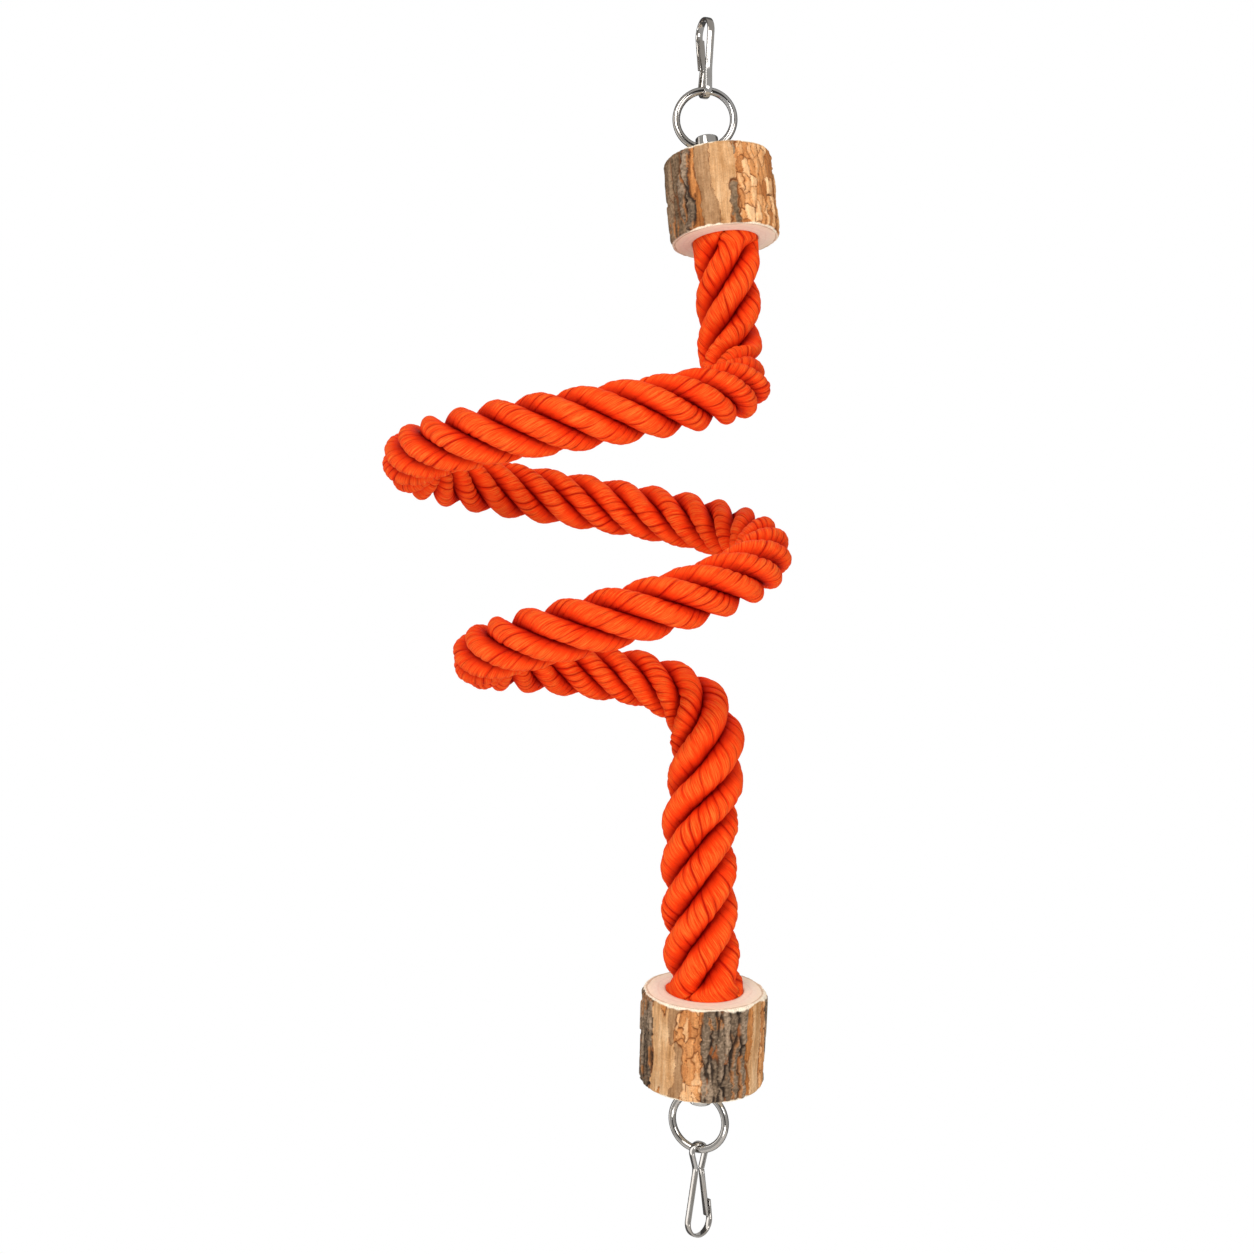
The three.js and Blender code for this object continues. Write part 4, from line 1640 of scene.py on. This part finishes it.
    def build(self) -> list[Object]:
        """Joins the wall, the two sawn faces, the socket and the hole in one skin.

        Returns:
            The log slice.
        """
        ray = circle(self.columns)
        height, colour, chipped = self.wall()
        up = np.linspace(0, self.height, self.wall_rows)[:, None]
        near_end = np.minimum(up, self.height - up)
        drop = self.rim_drop * (1 - np.sqrt(1 - (1 - np.clip(near_end / self.rim, 0, 1)) ** 2))
        relief = self.rim_relief + (1 - self.rim_relief) * ease(0.0, self.rim_fade * self.rim, near_end)
        reach = self.diameter / 2 + height * relief - drop
        bare = np.array(LOG_WOOD.sap[:3])
        chipped = self.rim * chipped * np.where(up < self.height / 2, *self.bare_rims)
        chip = ease(*self.chip_edge, near_end / chipped)[..., None]
        colour = colour * chip + bare * (1 - chip)
        wall = raised(reach[..., None] * ray, up)

        socket = (self.rope_diameter / 2 + self.rope_fit) * ray
        hole = self.bolt_radius * ray + (self.stud_offset, 0)
        floor = self.height - SOCKET_WEB
        share = np.linspace(0, 1, self.face_rows, endpoint=False)[:, None, None]
        rope_face = raised(socket * (1 - share) + wall[0, :, :2] * share, 0.0)
        outer_face = raised(wall[-1, :, :2] * (1 - share) + hole * share, self.height)[1:]
        hole_wall = raised(np.stack([hole, hole]), np.array([[self.height], [floor]]))
        levels = np.array([1.0, *self.socket_rows])[:, None] * floor
        socket_wall = raised(np.stack([socket] * len(levels)), levels)
        rows = np.concatenate([rope_face, wall, outer_face, hole_wall, socket_wall])
        part = skin(f"{self.nodes[0]}_log", self.place.out(rows), LOG_WOOD, ring=True)

        paint = np.zeros((*rows.shape[:2], 4))
        paint[..., :3] = bare
        barked = slice(len(rope_face), len(rope_face) + self.wall_rows)
        paint[barked] = np.concatenate([colour, np.ones((*colour.shape[:2], 1))], axis=-1)
        store(part, "bark", "FLOAT_COLOR", paint)
        store(part, "log_place", "FLOAT_VECTOR", rows / (self.diameter / 2))
        return [part]


@dataclass
class HiddenFittings:
    """Washers and nuts, which stay as the CAD has them.

    Attributes:
        nodes: Their CAD nodes.
    """

    nodes: tuple[str, ...] = ("top_washer", "top_nut", "bottom_washer", "bottom_nut")

    def dress(self) -> None:
        """Gives them a plated finish."""
        for name in self.nodes:
            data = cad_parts[name].data
            data.materials.clear()
            data.materials.append(PLATED.material())
            LOG.info("%s: plated", name)


@dataclass
class Studio:
    """The camera, the lights and the stage.

    Attributes:
        camera_place: Where the camera stands.
        lens: Its lens in millimetres.
        sensor: Width of its sensor in millimetres.
        near: Nearest distance that it sees.
        fill: Strength of the light from all round.
        lamps: Place, width and height, and power in watts of each lamp.
        middle: What the lamps shine at.
        floor_height: Height of the floor.
        floor_radius: Radius of the floor.
        floor_sides: Number of its sides.
        floor_colour: Its colour.
        cards: Middle, size along each axis and shade of each dark card that the steel reflects.
    """

    camera_place: Triple = (-0.0719, -1.5670, -0.5586)
    lens: float = 48.80
    sensor: float = 36.0
    near: float = 0.05
    fill: float = 0.5
    lamps: tuple[tuple[Triple, Pair, float], ...] = (
        ((-0.8, -1.9, 0.6), (1.0, 1.0), 27.0),
        ((1.1, -1.8, -0.2), (0.9, 0.9), 15.0),
        ((-0.1, -1.4, -1.9), (0.8, 0.8), 18.0),
        ((0.2, 1.2, 0.9), (1.0, 1.0), 7.0),
        ((-1.5, 0.2, -0.56), (0.4, 2.8), 5.0),
    )
    middle: Triple = (-0.05, 0.0, -0.56)
    floor_height: float = -1.5
    floor_radius: float = 0.85
    floor_sides: int = 96
    floor_colour: Colour = (0.86, 0.86, 0.85, 1.0)
    cards: tuple[tuple[Triple, Triple, float], ...] = (
        ((-0.8, 1.35, -0.56), (0.0, 2.2, 2.2), 0.09),
        ((0.8, 1.3, -0.56), (0.0, 2.3, 2.2), 0.09),
        ((0.0, 1.3, 0.5), (1.6, 2.3, 0.0), 0.12),
        ((0.0, 1.3, -1.45), (1.6, 2.3, 0.0), 0.12),
        ((-0.05, -2.6, -0.6), (1.5, 0.0, 4.2), 0.02),
        ((0.68, -1.12, -0.3), (0.2, 0.0, 0.7), 0.02),
    )

    def build(self) -> None:
        """Sets the camera, world, lamps, floor and cards."""
        self.camera()
        self.world()
        for index, lamp in enumerate(self.lamps):
            self.lamp(f"softbox_{index + 1}", *lamp)
        rim = raised(circle(self.floor_sides)[None] * self.floor_radius, self.floor_height)[0]
        floor = MattFinish("pale_floor", "", self.floor_colour)
        self.sheet("floor", rim + (self.middle[0], 0, 0), floor, True)
        for index, (place, size, shade) in enumerate(self.cards):
            wide, deep = (np.eye(3)[i] * size[i] / 2 for i in range(3) if size[i])
            corners = np.array([-wide - deep, wide - deep, wide + deep, deep - wide]) + place
            name = f"card_{index + 1}"
            self.sheet(name, corners, MattFinish(name, "", (shade, shade, shade, 1.0)), False)

    def camera(self) -> None:
        """Places the camera in front of the toy, level."""
        data = bpy.data.cameras.new("camera")
        data.sensor_width, data.lens, data.clip_start = self.sensor, self.lens, self.near
        eye = link("camera", data)
        eye.location = self.camera_place
        eye.rotation_euler = (math.pi / 2, 0.0, 0.0)
        bpy.context.scene.camera = eye

    def world(self) -> None:
        """Makes a white surround that lights the toy softly."""
        world = bpy.data.worlds.new("white_room")
        bpy.context.scene.world = world
        world.use_nodes = True
        world.node_tree.nodes.clear()
        wiring = Wiring(world.node_tree)
        seen = wiring.add("ShaderNodeLightPath").outputs["Is Camera Ray"]
        light = {"Color": (1.0, 1.0, 1.0, 1.0), "Strength": wiring.span(seen, 0.0, 1.0, self.fill, 1.0)}
        wiring.add("ShaderNodeOutputWorld", {"Surface": wiring.run("ShaderNodeBackground", light)})

    def lamp(self, name: str, place: Triple, size: Pair, power: float) -> None:
        """Adds a softbox that shines at the toy.

        Args:
            name: Its name.
            place: Where it stands.
            size: Its width and height.
            power: Its power in watts.
        """
        data = bpy.data.lights.new(name, "AREA")
        data.shape, data.energy = "RECTANGLE", power
        data.size, data.size_y = size
        lamp = link(name, data)
        lamp.location = place
        lamp.rotation_euler = (Vector(self.middle) - Vector(place)).to_track_quat("-Z", "Y").to_euler()

    @staticmethod
    def sheet(name: str, outline: Array, finish: Finish, lit: bool) -> None:
        """Sets up a flat sheet, which the camera does not see.

        Args:
            name: Its name.
            outline: Its corners in order.
            finish: Its finish.
            lit: Whether it gives the toy light and shadow, or is only reflected.
        """
        sheet = add_mesh(name, outline, [], [list(range(len(outline)))])
        sheet.data.materials.append(finish.material())
        sheet.visible_camera = False
        sheet.visible_diffuse = sheet.visible_shadow = lit


GREY, MOSS, ORANGE, TAN, PALE, FLAKE = Bark
UPPER_STRIPS: dict[float, Bark] = {
    0: MOSS, 40: GREY, 54: ORANGE, 64: TAN, 82: PALE, 98: MOSS, 109: FLAKE, 160: ORANGE,
    172: FLAKE, 205: GREY, 240: TAN, 255: GREY, 280: ORANGE, 298: GREY, 330: PALE, 345: ORANGE,
}
LOWER_STRIPS: dict[float, Bark] = {
    0: GREY, 33: PALE, 42: ORANGE, 49: PALE, 57: TAN, 64: FLAKE, 87: GREY, 131: ORANGE, 137: PALE,
    157: FLAKE, 170: GREY, 195: ORANGE, 210: GREY, 250: TAN, 265: GREY, 300: ORANGE, 315: GREY,
}


def pieces() -> list[Piece]:
    """Lists the toy's sub-assemblies from the rope outwards.

    Returns:
        The sub-assemblies.
    """
    upper, lower = ("upper_end",), ("lower_end",)
    upper_rope, _, lower_rope = RopeRoute().diameters
    upper_height, upper_offset = 0.077, -0.008
    lower_height, lower_offset = 0.087, 0.0
    return [
        LaidRope(),
        LogSlice(
            ("upper_block",),
            upper,
            UPPER_BLOCK,
            diameter=0.098,
            height=upper_height,
            rope_diameter=upper_rope,
            stud_offset=upper_offset,
            left=180.0,
            way=1,
            strips=UPPER_STRIPS,
            seed=5,
            bare_rims=(0.45, 0.45),
        ),
        LogSlice(
            ("lower_block",),
            lower,
            LOWER_BLOCK,
            diameter=0.112,
            height=lower_height,
            rope_diameter=lower_rope,
            stud_offset=lower_offset,
            left=155.0,
            way=-1,
            strips=LOWER_STRIPS,
            seed=8,
            bare_rims=(0.8, 0.5),
        ),
        Stud(("top_stud",), upper, UPPER_BLOCK, upper_height, upper_offset),
        Stud(("bottom_stud",), lower, LOWER_BLOCK, lower_height, lower_offset),
        Ring(("top_ring",), ("top_ring_body",), TOP_RING),
        Ring(("bottom_ring",), ("bottom_ring_body",), BOTTOM_RING),
        SnapHook(
            ("top_hook_body", "top_hook_gate"),
            ("top_hook", "top_gate"),
            TOP_HOOK,
            length=0.0745,
            back_waist=0.0081,
            gate_waist=0.0045,
            tip_reach=0.0465,
            tip_lean=10.0455,
        ),
        SnapHook(
            ("bottom_hook_body", "bottom_hook_gate"),
            ("bottom_hook", "bottom_gate"),
            BOTTOM_HOOK,
            length=0.089,
            back_waist=0.0036,
            gate_waist=0.0036,
            tip_reach=0.033,
            tip_lean=5.9924,
        ),
    ]


def main() -> None:
    """Builds the scene."""
    logging.basicConfig(level=logging.INFO, format="%(name)s: %(message)s")
    bpy.context.scene.view_settings.view_transform = "Standard"
    Studio().build()
    for piece in pieces():
        piece.add()
    HiddenFittings().dress()


if __name__ == "__main__":
    main()
